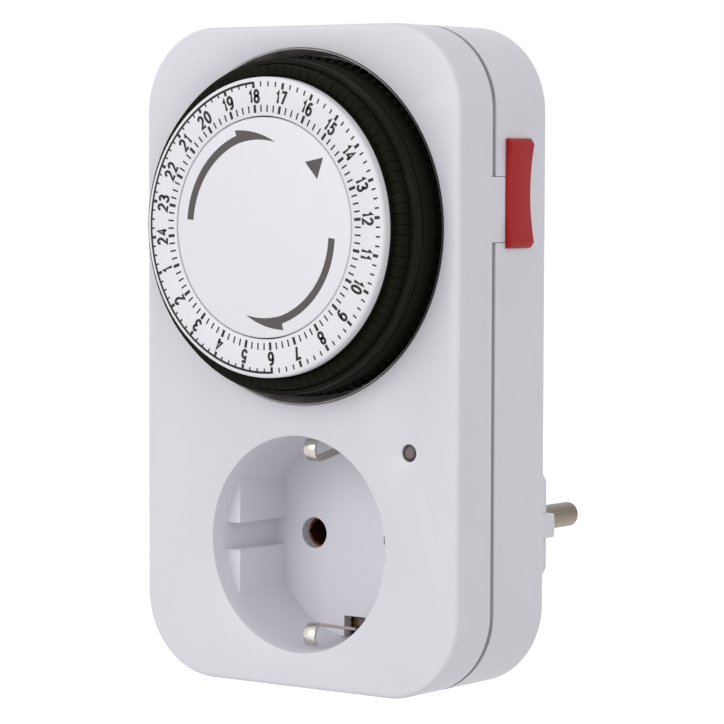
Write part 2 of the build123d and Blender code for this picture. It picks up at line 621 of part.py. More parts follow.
def dial_drum():
    """The rotating carrier: hub, web, segment channel, gripped skirt and the ring gear behind."""
    hub_bore = POST_RADIUS + SHAFT_RUN
    wall_out = TAPPET_IN - SLIP
    wall_in = wall_out - DRUM_WEB
    gear_out = (DIAL_TEETH / 2 + RING_TOOTH_DEPTH) * DIAL_MODULE + DIAL_GEAR_RIM
    floor_in = gear_out - DIAL_GEAR_RIM + SLIP * 2
    drum = ring(hub_bore, hub_bore + HUB_WALL, RING_BACK_Y, POST_SHOULDER_Y - SLIP)
    drum += ring(hub_bore, wall_out, RING_BACK_Y, RING_BACK_Y + DRUM_WEB)
    drum += ring(wall_in, wall_out, RING_BACK_Y, DRUM_BACK_Y)
    channel_out = TAPPET_OUT + SLIP
    step_radius = SKIRT_RADIUS - SKIRT_STEP
    step_y = SKIRT_FRONT_Y + SKIRT_STEP_LENGTH
    drum += turned(
        [
            (channel_out, SKIRT_FRONT_Y),
            (step_radius, SKIRT_FRONT_Y),
            (step_radius, step_y),
            (SKIRT_RADIUS, step_y),
            (SKIRT_RADIUS, SKIRT_END_Y),
            (channel_out, SKIRT_END_Y),
        ],
        DIAL_Z,
    )
    drum += ring(floor_in, channel_out + SLIP, DRUM_FLOOR_Y, DRUM_BACK_Y)
    ribs = grip_outline() - Circle(channel_out + SLIP)
    drum += slab(Pos(0, DIAL_Z) * ribs, SKIRT_END_Y - GRIP_RIB_LENGTH, SKIRT_END_Y)
    teeth = gear_outline(DIAL_TEETH, DIAL_MODULE, RING_TOOTH_DEPTH, RING_TOOTH_HEIGHT, -BACKLASH, 0)
    rim = Pos(0, DIAL_Z) * (Circle(gear_out) - teeth)
    drum += slab(rim, DRUM_BACK_Y - ROOT, DIAL_GEAR_BACK_Y)
    half = STEM_WIDTH / 2 + SLIP
    slot = block(
        TAPPET_MID - half, TAPPET_MID + half, DRUM_FLOOR_Y - OVERCUT, DRUM_BACK_Y + OVERCUT, -half, half
    )
    slots = Compound(children=[round_dial(slot, place) for place in range(TAPPET_COUNT)])
    return drum - slots


def grip_outline():
    """A rounded saw-tooth circle: one low grip rib for each segment."""
    points = []
    outer = SKIRT_RADIUS + GRIP_RIB_PROUD
    inner = SKIRT_RADIUS - GRIP_RIB_PROUD / 2
    corners = [
        (0.0, inner),
        (GRIP_GROOVE_SHARE, inner),
        (GRIP_GROOVE_SHARE + GRIP_SLOPE_SHARE, outer),
        (1.0 - GRIP_SLOPE_SHARE, outer),
    ]
    for rib in range(TAPPET_COUNT):
        for share, radius in corners:
            angle = 2 * math.pi * (rib + share) / TAPPET_COUNT
            points.append((radius * math.cos(angle), radius * math.sin(angle)))
    return make_face(Polyline(*points, close=True))


def tappet():
    """One quarter-hour segment on the +X side: a wedge-shaped head and the stem behind it."""
    pitch = 2 * math.pi / TAPPET_COUNT
    corners = []
    for radius, side in ((TAPPET_IN, -1), (TAPPET_OUT, -1), (TAPPET_OUT, 1), (TAPPET_IN, 1)):
        half = radius * pitch / 2 - TAPPET_SIDE_GAP / 2
        corners.append((radius, side * half))
    head = slab(make_face(Polyline(*corners, close=True)), TAPPET_FRONT_Y, TAPPET_BACK_Y)
    front = edges_at(head, TAPPET_FRONT_Y).sort_by(Axis.X)[-1:]
    head = chamfer(front, TAPPET_RADIAL / 4)
    half = STEM_WIDTH / 2
    stem = block(TAPPET_MID - half, TAPPET_MID + half, TAPPET_BACK_Y - ROOT, STEM_END_Y, -half, half)
    return head + stem


def tappets(places):
    return [round_dial(tappet(), place) for place in places]


def numeral_ring():
    inner = CENTRE_DISC_RADIUS + DIAL_GROOVE
    body = ring(inner, NUMERAL_RING_RADIUS, DIAL_FRONT_Y, RING_BACK_Y)
    rim = edges_at(body, DIAL_FRONT_Y).sort_by(SortBy.RADIUS)[-1:]
    return fillet(rim, NUMERAL_RIM_RADIUS)


def centre_disc():
    disc = rod(0, DIAL_Z, CENTRE_DISC_RADIUS, DIAL_FRONT_Y, DISC_BACK_Y)
    disc = fillet(edges_at(disc, DIAL_FRONT_Y), NUMERAL_RIM_RADIUS / 3)
    socket_depth = POST_TIP_LENGTH + SLIP
    return disc - rod(0, DIAL_Z, POST_TIP_RADIUS + TOUCH, DISC_BACK_Y - socket_depth, DISC_BACK_Y + OVERCUT)


# ---------------------------------------------------------------- movement
def plate_outline():
    shoulder = PLATE_HIGH_Z - PLATE_SHOULDER
    size = (2 * PLATE_HALF_WIDTH, shoulder - PLATE_LOW_Z)
    wide = Pos(0, (PLATE_LOW_Z + shoulder) / 2) * RectangleRounded(*size, WALL)
    size = (2 * PLATE_TAB_HALF, PLATE_HIGH_Z - PLATE_LOW_Z)
    return wide + Pos(0, (PLATE_LOW_Z + PLATE_HIGH_Z) / 2) * RectangleRounded(*size, WALL)


def movement_plate():
    """The frame of the movement: dial post, motor seat, lever ears and microswitch cheek."""
    plate = slab(plate_outline(), PLATE_Y, PLATE_BACK_Y)
    for x, z in PLATE_POSTS:
        plate -= rod(x, z, SMALL_SCREW_RADIUS + SLIP, PLATE_Y - OVERCUT, PLATE_BACK_Y + OVERCUT)
    plate += rod(0, DIAL_Z, POST_SHOULDER_RADIUS, POST_SHOULDER_Y, PLATE_Y + ROOT)
    plate += rod(0, DIAL_Z, POST_RADIUS, DISC_BACK_Y, POST_SHOULDER_Y + ROOT)
    plate += rod(0, DIAL_Z, POST_TIP_RADIUS, DISC_BACK_Y - POST_TIP_LENGTH, DISC_BACK_Y + ROOT)
    through = (PLATE_Y - OVERCUT, PLATE_BACK_Y + OVERCUT)
    plate -= rod(MOTOR_X, MOTOR_SHAFT_Z, MOTOR_SHAFT_RADIUS + RUN * 2, *through)
    plate -= rod(IDLER_X, IDLER_Z, IDLER_STUD_RADIUS, *through)
    for x, z in MOTOR_SCREWS:
        plate -= rod(x, z, SMALL_SCREW_RADIUS, *through)
    window_left = LEVER_LEFT_X - RUN * 2
    ear_top = SWITCH_LOW_Z - RUN * 2
    plate -= block(
        window_left, PLATE_HALF_WIDTH + OVERCUT, *through, ear_top, SWITCH_LOW_Z + SWITCH_HEIGHT + RUN
    )
    hub_low = PIVOT_Z - LEVER_HUB_RADIUS - RUN * 2
    plate -= block(window_left, LEVER_RIGHT_X + RUN, *through, hub_low, ear_top + OVERCUT)
    ear_back = PIVOT_Y + LEVER_HUB_RADIUS
    for left, right in (
        (LEVER_LEFT_X - RUN - EAR_THICKNESS, LEVER_LEFT_X - RUN),
        (LEVER_RIGHT_X + RUN, LEVER_RIGHT_X + RUN + EAR_THICKNESS),
    ):
        plate += block(left, right, PLATE_Y, ear_back, hub_low, ear_top)
    past_ears = EAR_THICKNESS * 2
    plate -= cross_rod(
        PIVOT_Y, PIVOT_Z, LEVER_PIN_RADIUS, LEVER_LEFT_X - past_ears, LEVER_RIGHT_X + past_ears
    )
    cheek = block(
        SWITCH_LEFT_X - CHEEK, SWITCH_LEFT_X, PLATE_BACK_Y - ROOT, SWITCH_BACK_Y,
        SWITCH_LOW_Z, SWITCH_LOW_Z + SWITCH_HEIGHT,
    )
    for z in switch_screw_heights():
        cheek -= cross_rod(switch_screw_y(), z, SMALL_SCREW_RADIUS, SWITCH_LEFT_X - CHEEK * 2, SWITCH_RIGHT_X)
    plate += cheek
    return plate


def plate_screws():
    return [
        screw(x, z, PLATE_BACK_Y, SMALL_SCREW_RADIUS - TOUCH, PLATE_THICKNESS + SMALL_SCREW_GRIP,
              SMALL_HEAD_RADIUS, SMALL_HEAD_HEIGHT, SMALL_SCREW_RADIUS / 4)
        for x, z in PLATE_POSTS
    ]


def idler_stud():
    front = DRUM_BACK_Y + RUN
    return rod(IDLER_X, IDLER_Z, IDLER_STUD_RADIUS, front, PLATE_BACK_Y - SLIP)


def idler_gear():
    """Wheel behind and pinion in front, in one piece, turning on the stud."""
    tooth = (TOOTH_HEIGHT, TOOTH_DEPTH, BACKLASH)
    pinion = gear_outline(IDLER_PINION_TEETH, DIAL_MODULE, *tooth, IDLER_ANGLE)
    wheel = gear_outline(IDLER_WHEEL_TEETH, WHEEL_MODULE, *tooth, MOTOR_ANGLE)
    here = Pos(IDLER_X, IDLER_Z)
    front = DRUM_BACK_Y + RUN * 2
    gear = slab(here * pinion, front, WHEEL_FRONT_Y + ROOT) + slab(here * wheel, WHEEL_FRONT_Y, WHEEL_BACK_Y)
    hub = rod(IDLER_X, IDLER_Z, IDLER_STUD_RADIUS * 3, WHEEL_BACK_Y - ROOT, PLATE_Y - SLIP)
    return gear + hub - rod(IDLER_X, IDLER_Z, IDLER_STUD_RADIUS + SHAFT_RUN, front - OVERCUT, PLATE_Y)


def motor_pinion():
    """The output pinion of the motor with its shaft."""
    space_turn = MOTOR_ANGLE + 180 + 180 / MOTOR_PINION_TEETH
    tooth = (TOOTH_HEIGHT, TOOTH_DEPTH, BACKLASH)
    outline = gear_outline(MOTOR_PINION_TEETH, WHEEL_MODULE, *tooth, space_turn)
    gear = slab(Pos(MOTOR_X, MOTOR_SHAFT_Z) * outline, WHEEL_FRONT_Y, WHEEL_BACK_Y)
    skin_back = PLATE_BACK_Y + MOTOR_SKIN
    return gear + rod(MOTOR_X, MOTOR_SHAFT_Z, MOTOR_SHAFT_RADIUS, WHEEL_FRONT_Y, skin_back)


def motor_case():
    """A pressed can with two screw ears."""
    can = rod(MOTOR_X, MOTOR_Z, MOTOR_RADIUS, PLATE_BACK_Y, MOTOR_BACK_Y)
    can = fillet(edges_at(can, MOTOR_BACK_Y), MOTOR_SKIN)
    ear_x = MOTOR_EAR_REACH + MOTOR_EAR_HALF
    ears = Rot(0, 0, MOTOR_EAR_ANGLE) * RectangleRounded(2 * ear_x, 2 * MOTOR_EAR_HALF, MOTOR_EAR_HALF - SLIP)
    ears = Pos(MOTOR_X, MOTOR_Z) * ears
    can += slab(ears, PLATE_BACK_Y, PLATE_BACK_Y + MOTOR_SKIN)
    inner = MOTOR_RADIUS - MOTOR_SKIN
    can -= rod(MOTOR_X, MOTOR_Z, inner, PLATE_BACK_Y + MOTOR_SKIN, MOTOR_BACK_Y - MOTOR_SKIN)
    bearing = MOTOR_SHAFT_RADIUS + SHAFT_RUN
    can -= rod(MOTOR_X, MOTOR_SHAFT_Z, bearing, PLATE_BACK_Y - OVERCUT, PLATE_BACK_Y + OVERCUT)
    for x, z in MOTOR_SCREWS:
        can -= rod(x, z, SMALL_SCREW_RADIUS + SLIP, PLATE_BACK_Y - OVERCUT, PLATE_BACK_Y + OVERCUT)
    return can


def motor_gearhead():
    """The sealed reduction gear in the middle of the can; the output shaft ends at its front."""
    front = PLATE_BACK_Y + MOTOR_SKIN
    return rod(MOTOR_X, MOTOR_Z, GEARHEAD_RADIUS, front + RUN, MOTOR_BACK_Y - MOTOR_SKIN)


def motor_coil():
    """The winding on its bobbin, around the reduction gear."""
    front = PLATE_BACK_Y + MOTOR_SKIN
    back = MOTOR_BACK_Y - MOTOR_SKIN
    outer = MOTOR_RADIUS - MOTOR_SKIN - SLIP
    groove = outer - MOTOR_SKIN * 2
    cheek = MOTOR_SKIN * 1.5
    inner = GEARHEAD_RADIUS + SLIP
    points = [
        (inner, front),
        (outer, front),
        (outer, front + cheek),
        (groove, front + cheek),
        (groove, back - cheek),
        (outer, back - cheek),
        (outer, back),
        (inner, back),
    ]
    return Pos(MOTOR_X, 0, 0) * turned(points, MOTOR_Z)


def motor_screws():
    return [
        screw(x, z, PLATE_BACK_Y + MOTOR_SKIN, SMALL_SCREW_RADIUS - TOUCH, PLATE_THICKNESS + MOTOR_SKIN,
              SMALL_HEAD_RADIUS, SMALL_HEAD_HEIGHT, SMALL_SCREW_RADIUS / 4)
        for x, z in MOTOR_SCREWS
    ]


# ---------------------------------------------------------------- lever and microswitch
def feeler_lever():
    """Hangs behind the dial: pressed segments and the override ramp both push it backwards."""
    arm = block(LEVER_LEFT_X, LEVER_RIGHT_X, LEVER_FRONT_Y, LEVER_BACK_Y, PIVOT_Z, LEVER_TOP_Z)
    arm += cross_rod(PIVOT_Y, PIVOT_Z, LEVER_HUB_RADIUS, LEVER_LEFT_X, LEVER_RIGHT_X)
    tip_y = STEM_END_Y + LEVER_NOSE_GAP
    nose = [
        (LEVER_FRONT_Y + ROOT, DIAL_Z - LEVER_NOSE / 2),
        (tip_y + LEVER_NOSE / 3, DIAL_Z - LEVER_NOSE / 2),
        (tip_y, DIAL_Z - LEVER_NOSE / 6),
        (tip_y, DIAL_Z + LEVER_NOSE / 6),
        (tip_y + LEVER_NOSE / 3, DIAL_Z + LEVER_NOSE / 2),
        (LEVER_FRONT_Y + ROOT, DIAL_Z + LEVER_NOSE / 2),
    ]
    half = LEVER_NOSE_WIDTH / 2
    arm += side_slab(nose, TAPPET_MID - half, TAPPET_MID + half)
    return arm - cross_rod(PIVOT_Y, PIVOT_Z, LEVER_PIN_RADIUS + SHAFT_RUN, 0, SIDE_X)


def lever_pin():
    left = LEVER_LEFT_X - RUN - EAR_THICKNESS
    right = LEVER_RIGHT_X + RUN + EAR_THICKNESS
    return cross_rod(PIVOT_Y, PIVOT_Z, LEVER_PIN_RADIUS - TOUCH / 5, left, right)


def switch_screw_y():
    return SWITCH_BACK_Y - SMALL_HEAD_RADIUS - SLIP


def switch_screw_heights():
    edge = SMALL_HEAD_RADIUS + SLIP
    return (SWITCH_LOW_Z + edge, SWITCH_LOW_Z + SWITCH_HEIGHT - edge)


def microswitch_body():
    high_z = SWITCH_LOW_Z + SWITCH_HEIGHT
    body = block(SWITCH_LEFT_X, SWITCH_RIGHT_X, SWITCH_FRONT_Y, SWITCH_BACK_Y, SWITCH_LOW_Z, high_z)
    body = chamfer(body.edges().filter_by(Axis.X), CAP_EDGE)
    left, right = SWITCH_LEFT_X - OVERCUT, SWITCH_RIGHT_X + OVERCUT
    for z in switch_screw_heights():
        body -= cross_rod(switch_screw_y(), z, SMALL_SCREW_RADIUS + SLIP, left, right)
    depth = SWITCH_FRONT_Y + PLUNGER_INSIDE + OVERCUT
    return body - rod(SWITCH_X, PLUNGER_Z, PLUNGER_RADIUS + SLIP, SWITCH_FRONT_Y - OVERCUT, depth)


def microswitch_plunger():
    tip = LEVER_BACK_Y + TOUCH
    plunger = rod(SWITCH_X, PLUNGER_Z, PLUNGER_RADIUS, tip, SWITCH_FRONT_Y + PLUNGER_INSIDE)
    return fillet(edges_at(plunger, tip), PLUNGER_DOME)


def terminal_heights():
    middle = SWITCH_LOW_Z + SWITCH_HEIGHT / 2
    return (middle - TERMINAL_PITCH, middle, middle + TERMINAL_PITCH)


def microswitch_terminals():
    half = TERMINAL_THICKNESS / 2
    return [
        block(SWITCH_X - TERMINAL_HALF_WIDTH, SWITCH_X + TERMINAL_HALF_WIDTH, SWITCH_BACK_Y,
              SWITCH_BACK_Y + TERMINAL_LENGTH, z - half, z + half)
        for z in terminal_heights()
    ]


def microswitch_screws():
    """Two screws along X that clamp the microswitch to its cheek."""
    screws = []
    tip_x = SWITCH_LEFT_X - CHEEK
    head_x = SWITCH_RIGHT_X + SMALL_HEAD_HEIGHT
    for z in switch_screw_heights():
        shank = cross_rod(switch_screw_y(), z, SMALL_SCREW_RADIUS - TOUCH, tip_x, SWITCH_RIGHT_X)
        head = cross_rod(switch_screw_y(), z, SMALL_HEAD_RADIUS, SWITCH_RIGHT_X, head_x)
        screws.append(shank + head)
    return screws


# ---------------------------------------------------------------- override switch
def override_cap():
    """The red slide on the side wall, with its saddle for the thumb and the stem through the slot."""
    low = CAP_Z - CAP_LENGTH / 2
    high = CAP_Z + CAP_LENGTH / 2
    base_x = SIDE_X + CAP_GAP
    end_x = SIDE_X + CAP_PROUD
    saddle = ThreePointArc((end_x, high), (end_x - CAP_SADDLE, CAP_Z), (end_x, low))
    sides = Polyline((end_x, low), (base_x, low), (base_x, high), (end_x, high))
    cap = slab(make_face([saddle, sides]), CAP_FRONT_Y, CAP_BACK_Y)
    cap = fillet(cap.edges().filter_by(GeomType.CIRCLE), CAP_EDGE)
    return cap + block(
        CARRIER_OUT_X, base_x + ROOT, KNOB_STEM_FRONT_Y, KNOB_STEM_BACK_Y, KNOB_STEM_LOW_Z, KNOB_STEM_HIGH_Z
    )


def override_carrier():
    """Rides on the stem inside the wall and carries the ramp that pushes the lever."""
    front = LEVER_FRONT_Y - CARRIER_LUG_FRONT
    plate = block(
        CARRIER_IN_X, CARRIER_OUT_X, front, KNOB_STEM_BACK_Y, KNOB_STEM_LOW_Z, KNOB_STEM_HIGH_Z
    )
    push = math.radians(LEVER_SWING) * (LEVER_TOP_Z - PIVOT_Z)
    gap_z = KNOB_STEM_LOW_Z - LEVER_TOP_Z
    thin = LEVER_FRONT_Y - RAMP_GAP + push * gap_z / CAP_TRAVEL
    thick = LEVER_FRONT_Y - RAMP_GAP + push * (gap_z + KNOB_STEM_HIGH_Z - KNOB_STEM_LOW_Z) / CAP_TRAVEL
    ramp = [
        (front, KNOB_STEM_LOW_Z),
        (thin, KNOB_STEM_LOW_Z),
        (thick, KNOB_STEM_HIGH_Z),
        (front, KNOB_STEM_HIGH_Z),
    ]
    return plate + side_slab(ramp, LUG_LEFT_X, CARRIER_IN_X + ROOT)


# ---------------------------------------------------------------- contacts
def contact_carrier():
    """The insulating block behind the socket floor, with a tower around each contact."""
    plate_back = CUP_BACK_Y + CARRIER_THICKNESS
    size = Rectangle(2 * CARRIER_HALF_WIDTH, 2 * CARRIER_HALF_HEIGHT)
    carrier = slab(size, CUP_BACK_Y, plate_back)
    strap_half = max(PLUG_STRAP_HALF_WIDTH, CLIP_HALF_WIDTH) + SLIP * 2
    strap_back = CUP_BACK_Y + 2 * STRAP_THICKNESS + SLIP * 2
    carrier -= block(
        -strap_half, strap_half, CUP_BACK_Y - OVERCUT, strap_back, -CARRIER_HALF_HEIGHT, CARRIER_HALF_HEIGHT
    )
    bore = SLEEVE_RADIUS + SLIP
    for side in (-1, 1):
        carrier += rod(side * PIN_X, 0, bore + TOWER_WALL, plate_back - ROOT, PIN_FLANGE_Y)
        carrier -= rod(side * PIN_X, 0, bore, CUP_BACK_Y - OVERCUT, PIN_FLANGE_Y + OVERCUT)
        carrier -= block(
            side * PIN_X - TOWER_SLOT_HALF, side * PIN_X + TOWER_SLOT_HALF, SLEEVE_END_Y - SLEEVE_LENGTH / 2,
            PIN_FLANGE_Y + OVERCUT, 0, bore + TOWER_WALL * 2,
        )
    return carrier


def socket_sleeve(side):
    """A brass contact tube, slit on both sides and closed at its back."""
    sleeve = rod(side * PIN_X, 0, SLEEVE_RADIUS, CUP_BACK_Y, SLEEVE_END_Y)
    sleeve -= rod(side * PIN_X, 0, SLEEVE_BORE, CUP_BACK_Y - OVERCUT, SLEEVE_END_Y - SLEEVE_END)
    left, right = side * PIN_X - SLEEVE_RADIUS * 2, side * PIN_X + SLEEVE_RADIUS * 2
    half = SLEEVE_SLIT / 2
    return sleeve - block(left, right, CUP_BACK_Y - OVERCUT, CUP_BACK_Y + SLEEVE_SLIT_LENGTH, -half, half)


def plug_pin(side, shank_end_y):
    pin = rod(side * PIN_X, 0, PIN_RADIUS, PIN_NECK_PROUD - ROOT, PIN_LENGTH)
    pin = chamfer(edges_at(pin, PIN_LENGTH), PIN_TIP_CHAMFER)
    pin += rod(side * PIN_X, 0, PIN_NECK_RADIUS, -PLUG_FACE_THICKNESS - ROOT, PIN_NECK_PROUD)
    pin += rod(side * PIN_X, 0, PIN_FLANGE_RADIUS, PIN_FLANGE_Y, -PLUG_FACE_THICKNESS)
    return pin + rod(side * PIN_X, 0, PIN_SHANK_RADIUS, shank_end_y, PIN_FLANGE_Y + ROOT)


def earth_clip_strap():
    """One sprung strip: a bar behind the socket floor and a hooked clip through each slot."""
    bar_y = CUP_BACK_Y + STRAP_THICKNESS / 2
    root_z = CLIP_SLOT_LOW + CLIP_SLOT_OFFSET
    mouth_y = FRONT_Y + GUIDE_START
    arm_end = (mouth_y + CLIP_ARM_END, root_z - CLIP_LEAN)
    arm = Polyline(
        (bar_y, 0),
        (bar_y, root_z),
        (RECESS_FLOOR_Y - OVERCUT, root_z - CLIP_ROOT_LEAN),
        arm_end,
    )
    curl_end = (mouth_y + CLIP_CURL_BACK, root_z + CLIP_CURL_HEIGHT)
    hook = ThreePointArc(arm_end, (mouth_y, arm_end[1] + CLIP_CURL_NOSE), curl_end)
    profile = trace(arm.edges() + hook.edges(), line_width=STRAP_THICKNESS)
    plane = Plane((-CLIP_HALF_WIDTH, 0, 0), x_dir=(0, 1, 0), z_dir=(1, 0, 0))
    strip = extrude(plane * profile, 2 * CLIP_HALF_WIDTH)
    strip = strip + mirror(strip, Plane.XY)
    return strip - rod(0, 0, EARTH_RIVET_RADIUS, CUP_BACK_Y - OVERCUT, CUP_BACK_Y + OVERCUT)


def earth_plug_strap():
    """The strip from the clips to the plug's two side earth contacts."""
    front = CUP_BACK_Y + STRAP_THICKNESS
    contact_z = PLUG_RADIUS - EARTH_CHANNEL_DEPTH + TOUCH
    reach = contact_z + STRAP_THICKNESS
    half = PLUG_STRAP_HALF_WIDTH
    strap = block(-half, half, front, front + STRAP_THICKNESS, -reach, reach)
    for side in (-1, 1):
        low, high = sorted((side * contact_z, side * reach))
        strap += block(-half, half, front, -EARTH_STRAP_END, low, high)
    return strap - rod(0, 0, EARTH_RIVET_RADIUS, CUP_BACK_Y - OVERCUT, CUP_BACK_Y + OVERCUT * 2)


def earth_rivet():
    return rod(0, 0, EARTH_RIVET_RADIUS - TOUCH / 5, CUP_BACK_Y, CUP_BACK_Y + 2 * STRAP_THICKNESS + SLIP)


# ---------------------------------------------------------------- lamp and wiring
def lamp_lens():
    lens = rod(LAMP_X, LAMP_Z, LENS_RADIUS, FRONT_Y + LENS_SUNK, INNER_FRONT_Y + ROOT)
    return lens + rod(LAMP_X, LAMP_Z, LENS_FLANGE_RADIUS, INNER_FRONT_Y, INNER_FRONT_Y + LENS_FLANGE)


def neon_bulb():
    front = INNER_FRONT_Y + LENS_FLANGE + SLIP
    bulb = rod(LAMP_X, LAMP_Z, BULB_RADIUS, front, front + BULB_LENGTH)
    return fillet(edges_at(bulb, front), BULB_DOME)


def lamp_resistor():
    front = INNER_FRONT_Y + LENS_FLANGE + SLIP + BULB_LENGTH + LEAD_RADIUS * 2
    return rod(LAMP_X, LAMP_Z, RESISTOR_RADIUS, front, front + RESISTOR_LENGTH)


def lamp_leads():
    """From the bulb to the resistor, on to the switched wire, and from the bulb to the neutral lead."""
    bulb_end = INNER_FRONT_Y + LENS_FLANGE + SLIP + BULB_LENGTH
    resistor_end = bulb_end + LEAD_RADIUS * 2 + RESISTOR_LENGTH
    link = rod(LAMP_X, LAMP_Z, LEAD_RADIUS, bulb_end, bulb_end + LEAD_RADIUS * 2)
    live_y = CUP_BACK_Y + LEAD_GAP
    live = wire(
        [
            (LAMP_X, resistor_end, LAMP_Z),
            (LAMP_X, live_y, LAMP_Z),
            (SWITCHED_X, live_y, LAMP_Z + LEAD_RISE),
            (SWITCHED_X, WIRE_Y - WIRE_RADIUS, LAMP_Z + LEAD_RISE),
        ],
        LEAD_RADIUS,
        LEAD_GAP,
    )
    low = LAMP_Z - BULB_RADIUS + LEAD_RADIUS
    neutral_y = LEAD_Y - LEAD_GAP * 2
    neutral = wire(
        [
            (LAMP_X, bulb_end, low),
            (LAMP_X, neutral_y, low),
            (-PIN_X, neutral_y, NEUTRAL_Z),
            (-PIN_X, LEAD_Y - MOTOR_LEAD_RADIUS, NEUTRAL_Z),
        ],
        LEAD_RADIUS,
        LEAD_GAP,
    )
    return [link, live, neutral]


def line_wire():
    """From the right plug pin up to the common terminal of the microswitch."""
    shank_y = PIN_FLANGE_Y - LINE_SHANK_LENGTH / 2
    end_z = terminal_heights()[0] - TERMINAL_THICKNESS / 2
    tower = SLEEVE_RADIUS + SLIP + TOWER_WALL
    reach = PLUG_RADIUS - PLUG_WALL - WIRE_RADIUS - LINE_WALL_GAP
    inside_flat = PLUG_FLAT_HALF - PLUG_WALL - WIRE_RADIUS - RUN
    beside_x = min(reach * math.cos(math.radians(LINE_ANGLE)), inside_flat)
    beside_z = reach * math.sin(math.radians(LINE_ANGLE))
    return wire(
        [
            (PIN_X, shank_y, PIN_SHANK_RADIUS),
            (PIN_X, shank_y, tower + WIRE_RADIUS * 2),
            (beside_x, shank_y - tower, beside_z),
            (beside_x, WIRE_Y, beside_z),
            (SWITCH_X, WIRE_Y, RECESS_FLOOR_RADIUS + RUN),
            (SWITCH_X, WIRE_Y, end_z),
        ],
        WIRE_RADIUS,
        WIRE_BEND,
    )


def switched_wire():
    """From the microswitch back down to the right socket contact."""
    sleeve_y = SLEEVE_END_Y - SLEEVE_END
    end_z = terminal_heights()[1]
    over_z = SLEEVE_RADIUS + SLIP + TOWER_WALL + WIRE_RADIUS + RUN
    return wire(
        [
            (PIN_X, sleeve_y, SLEEVE_RADIUS),
            (PIN_X, sleeve_y, over_z),
            (PIN_X, WIRE_Y, over_z),
            (PIN_X, WIRE_Y, over_z * 2),
            (SWITCHED_X, WIRE_Y, over_z * 2 + SWITCHED_X - PIN_X),
            (SWITCHED_X, WIRE_Y, PIVOT_Z),
            (SWITCH_LEFT_X - CHEEK, WIRE_Y, end_z),
            (SWITCH_X - TERMINAL_HALF_WIDTH, WIRE_Y, end_z),
        ],
        WIRE_RADIUS,
        WIRE_BEND,
    )


def motor_leads():
    """Two thin leads from the back of the motor to the common terminal and the neutral contact."""
    end_z = terminal_heights()[0]
    over_y = LEAD_Y - LEAD_GAP * 2
    live = wire(
        [
            (MOTOR_X + GEARHEAD_RADIUS, MOTOR_BACK_Y, end_z),
            (MOTOR_X + GEARHEAD_RADIUS, over_y, end_z),
            (SWITCH_X - TERMINAL_HALF_WIDTH, over_y, end_z),
        ],
        MOTOR_LEAD_RADIUS,
        LEAD_GAP,
    )
    over_z = SLEEVE_RADIUS + TOWER_WALL * 3
    neutral = wire(
        [
            (-PIN_X, MOTOR_BACK_Y, MOTOR_Z - GEARHEAD_RADIUS),
            (-PIN_X, LEAD_Y, MOTOR_Z - GEARHEAD_RADIUS),
            (-PIN_X, LEAD_Y, over_z * 2),
            (-PIN_X, SLEEVE_END_Y - SLEEVE_END * 4, over_z),
            (-PIN_X, SLEEVE_END_Y - SLEEVE_END, over_z),
            (-PIN_X, SLEEVE_END_Y - SLEEVE_END, SLEEVE_RADIUS),
        ],
        MOTOR_LEAD_RADIUS,
        LEAD_GAP,
    )
    return [live, neutral]


# ---------------------------------------------------------------- nodes
free_places = list(range(FREE_TAPPETS_FROM, FREE_TAPPETS_FROM + FREE_TAPPETS))
set_places = [place for place in range(TAPPET_COUNT) if place not in free_places]

nodes = {
    "front_shell": front_shell(),
    "rear_shell": rear_shell(),
    "housing_screws": housing_screws(),
    "dial_collar": dial_collar(),
    "dial_drum": dial_drum(),
    "segments": tappets(set_places),
    "numeral_ring": numeral_ring(),
    "centre_disc": centre_disc(),
    "movement_plate": movement_plate(),
    "plate_screws": plate_screws(),
    "idler_stud": idler_stud(),
    "idler_gear": idler_gear(),
    "motor_case": motor_case(),
    "motor_gearhead": motor_gearhead(),
    "motor_coil": motor_coil(),
    "motor_pinion": motor_pinion(),
    "motor_screws": motor_screws(),
    "feeler_lever": feeler_lever(),
    "lever_pin": lever_pin(),
    "microswitch_body": microswitch_body(),
    "microswitch_plunger": microswitch_plunger(),
    "microswitch_terminals": microswitch_terminals(),
    "microswitch_screws": microswitch_screws(),
    "override_cap": override_cap(),
    "override_carrier": override_carrier(),
    "contact_carrier": contact_carrier(),
    "socket_sleeve_left": socket_sleeve(-1),
    "socket_sleeve_right": socket_sleeve(1),
    "plug_pin_left": plug_pin(-1, SLEEVE_END_Y),
    "plug_pin_right": plug_pin(1, PIN_FLANGE_Y - LINE_SHANK_LENGTH),
    "earth_clip_strap": earth_clip_strap(),
    "earth_plug_strap": earth_plug_strap(),
    "earth_rivet": earth_rivet(),
    "lamp_lens": lamp_lens(),
    "neon_bulb": neon_bulb(),
    "lamp_resistor": lamp_resistor(),
    "lamp_leads": lamp_leads(),
    "line_wire": line_wire(),
    "switched_wire": switched_wire(),
    "motor_leads": motor_leads(),
}
for number, place in enumerate(free_places, start=1):
    nodes[f"segment_{number}"] = tappets([place])[0]

os.makedirs("parts", exist_ok=True)
for name, shape in nodes.items():
    if isinstance(shape, list):
        shape = Compound(children=shape)
    export_step(shape, f"parts/{name}.step")
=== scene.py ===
import json
import math

import bmesh
import bpy
from mathutils import Matrix, Vector
from mathutils.bvhtree import BVHTree


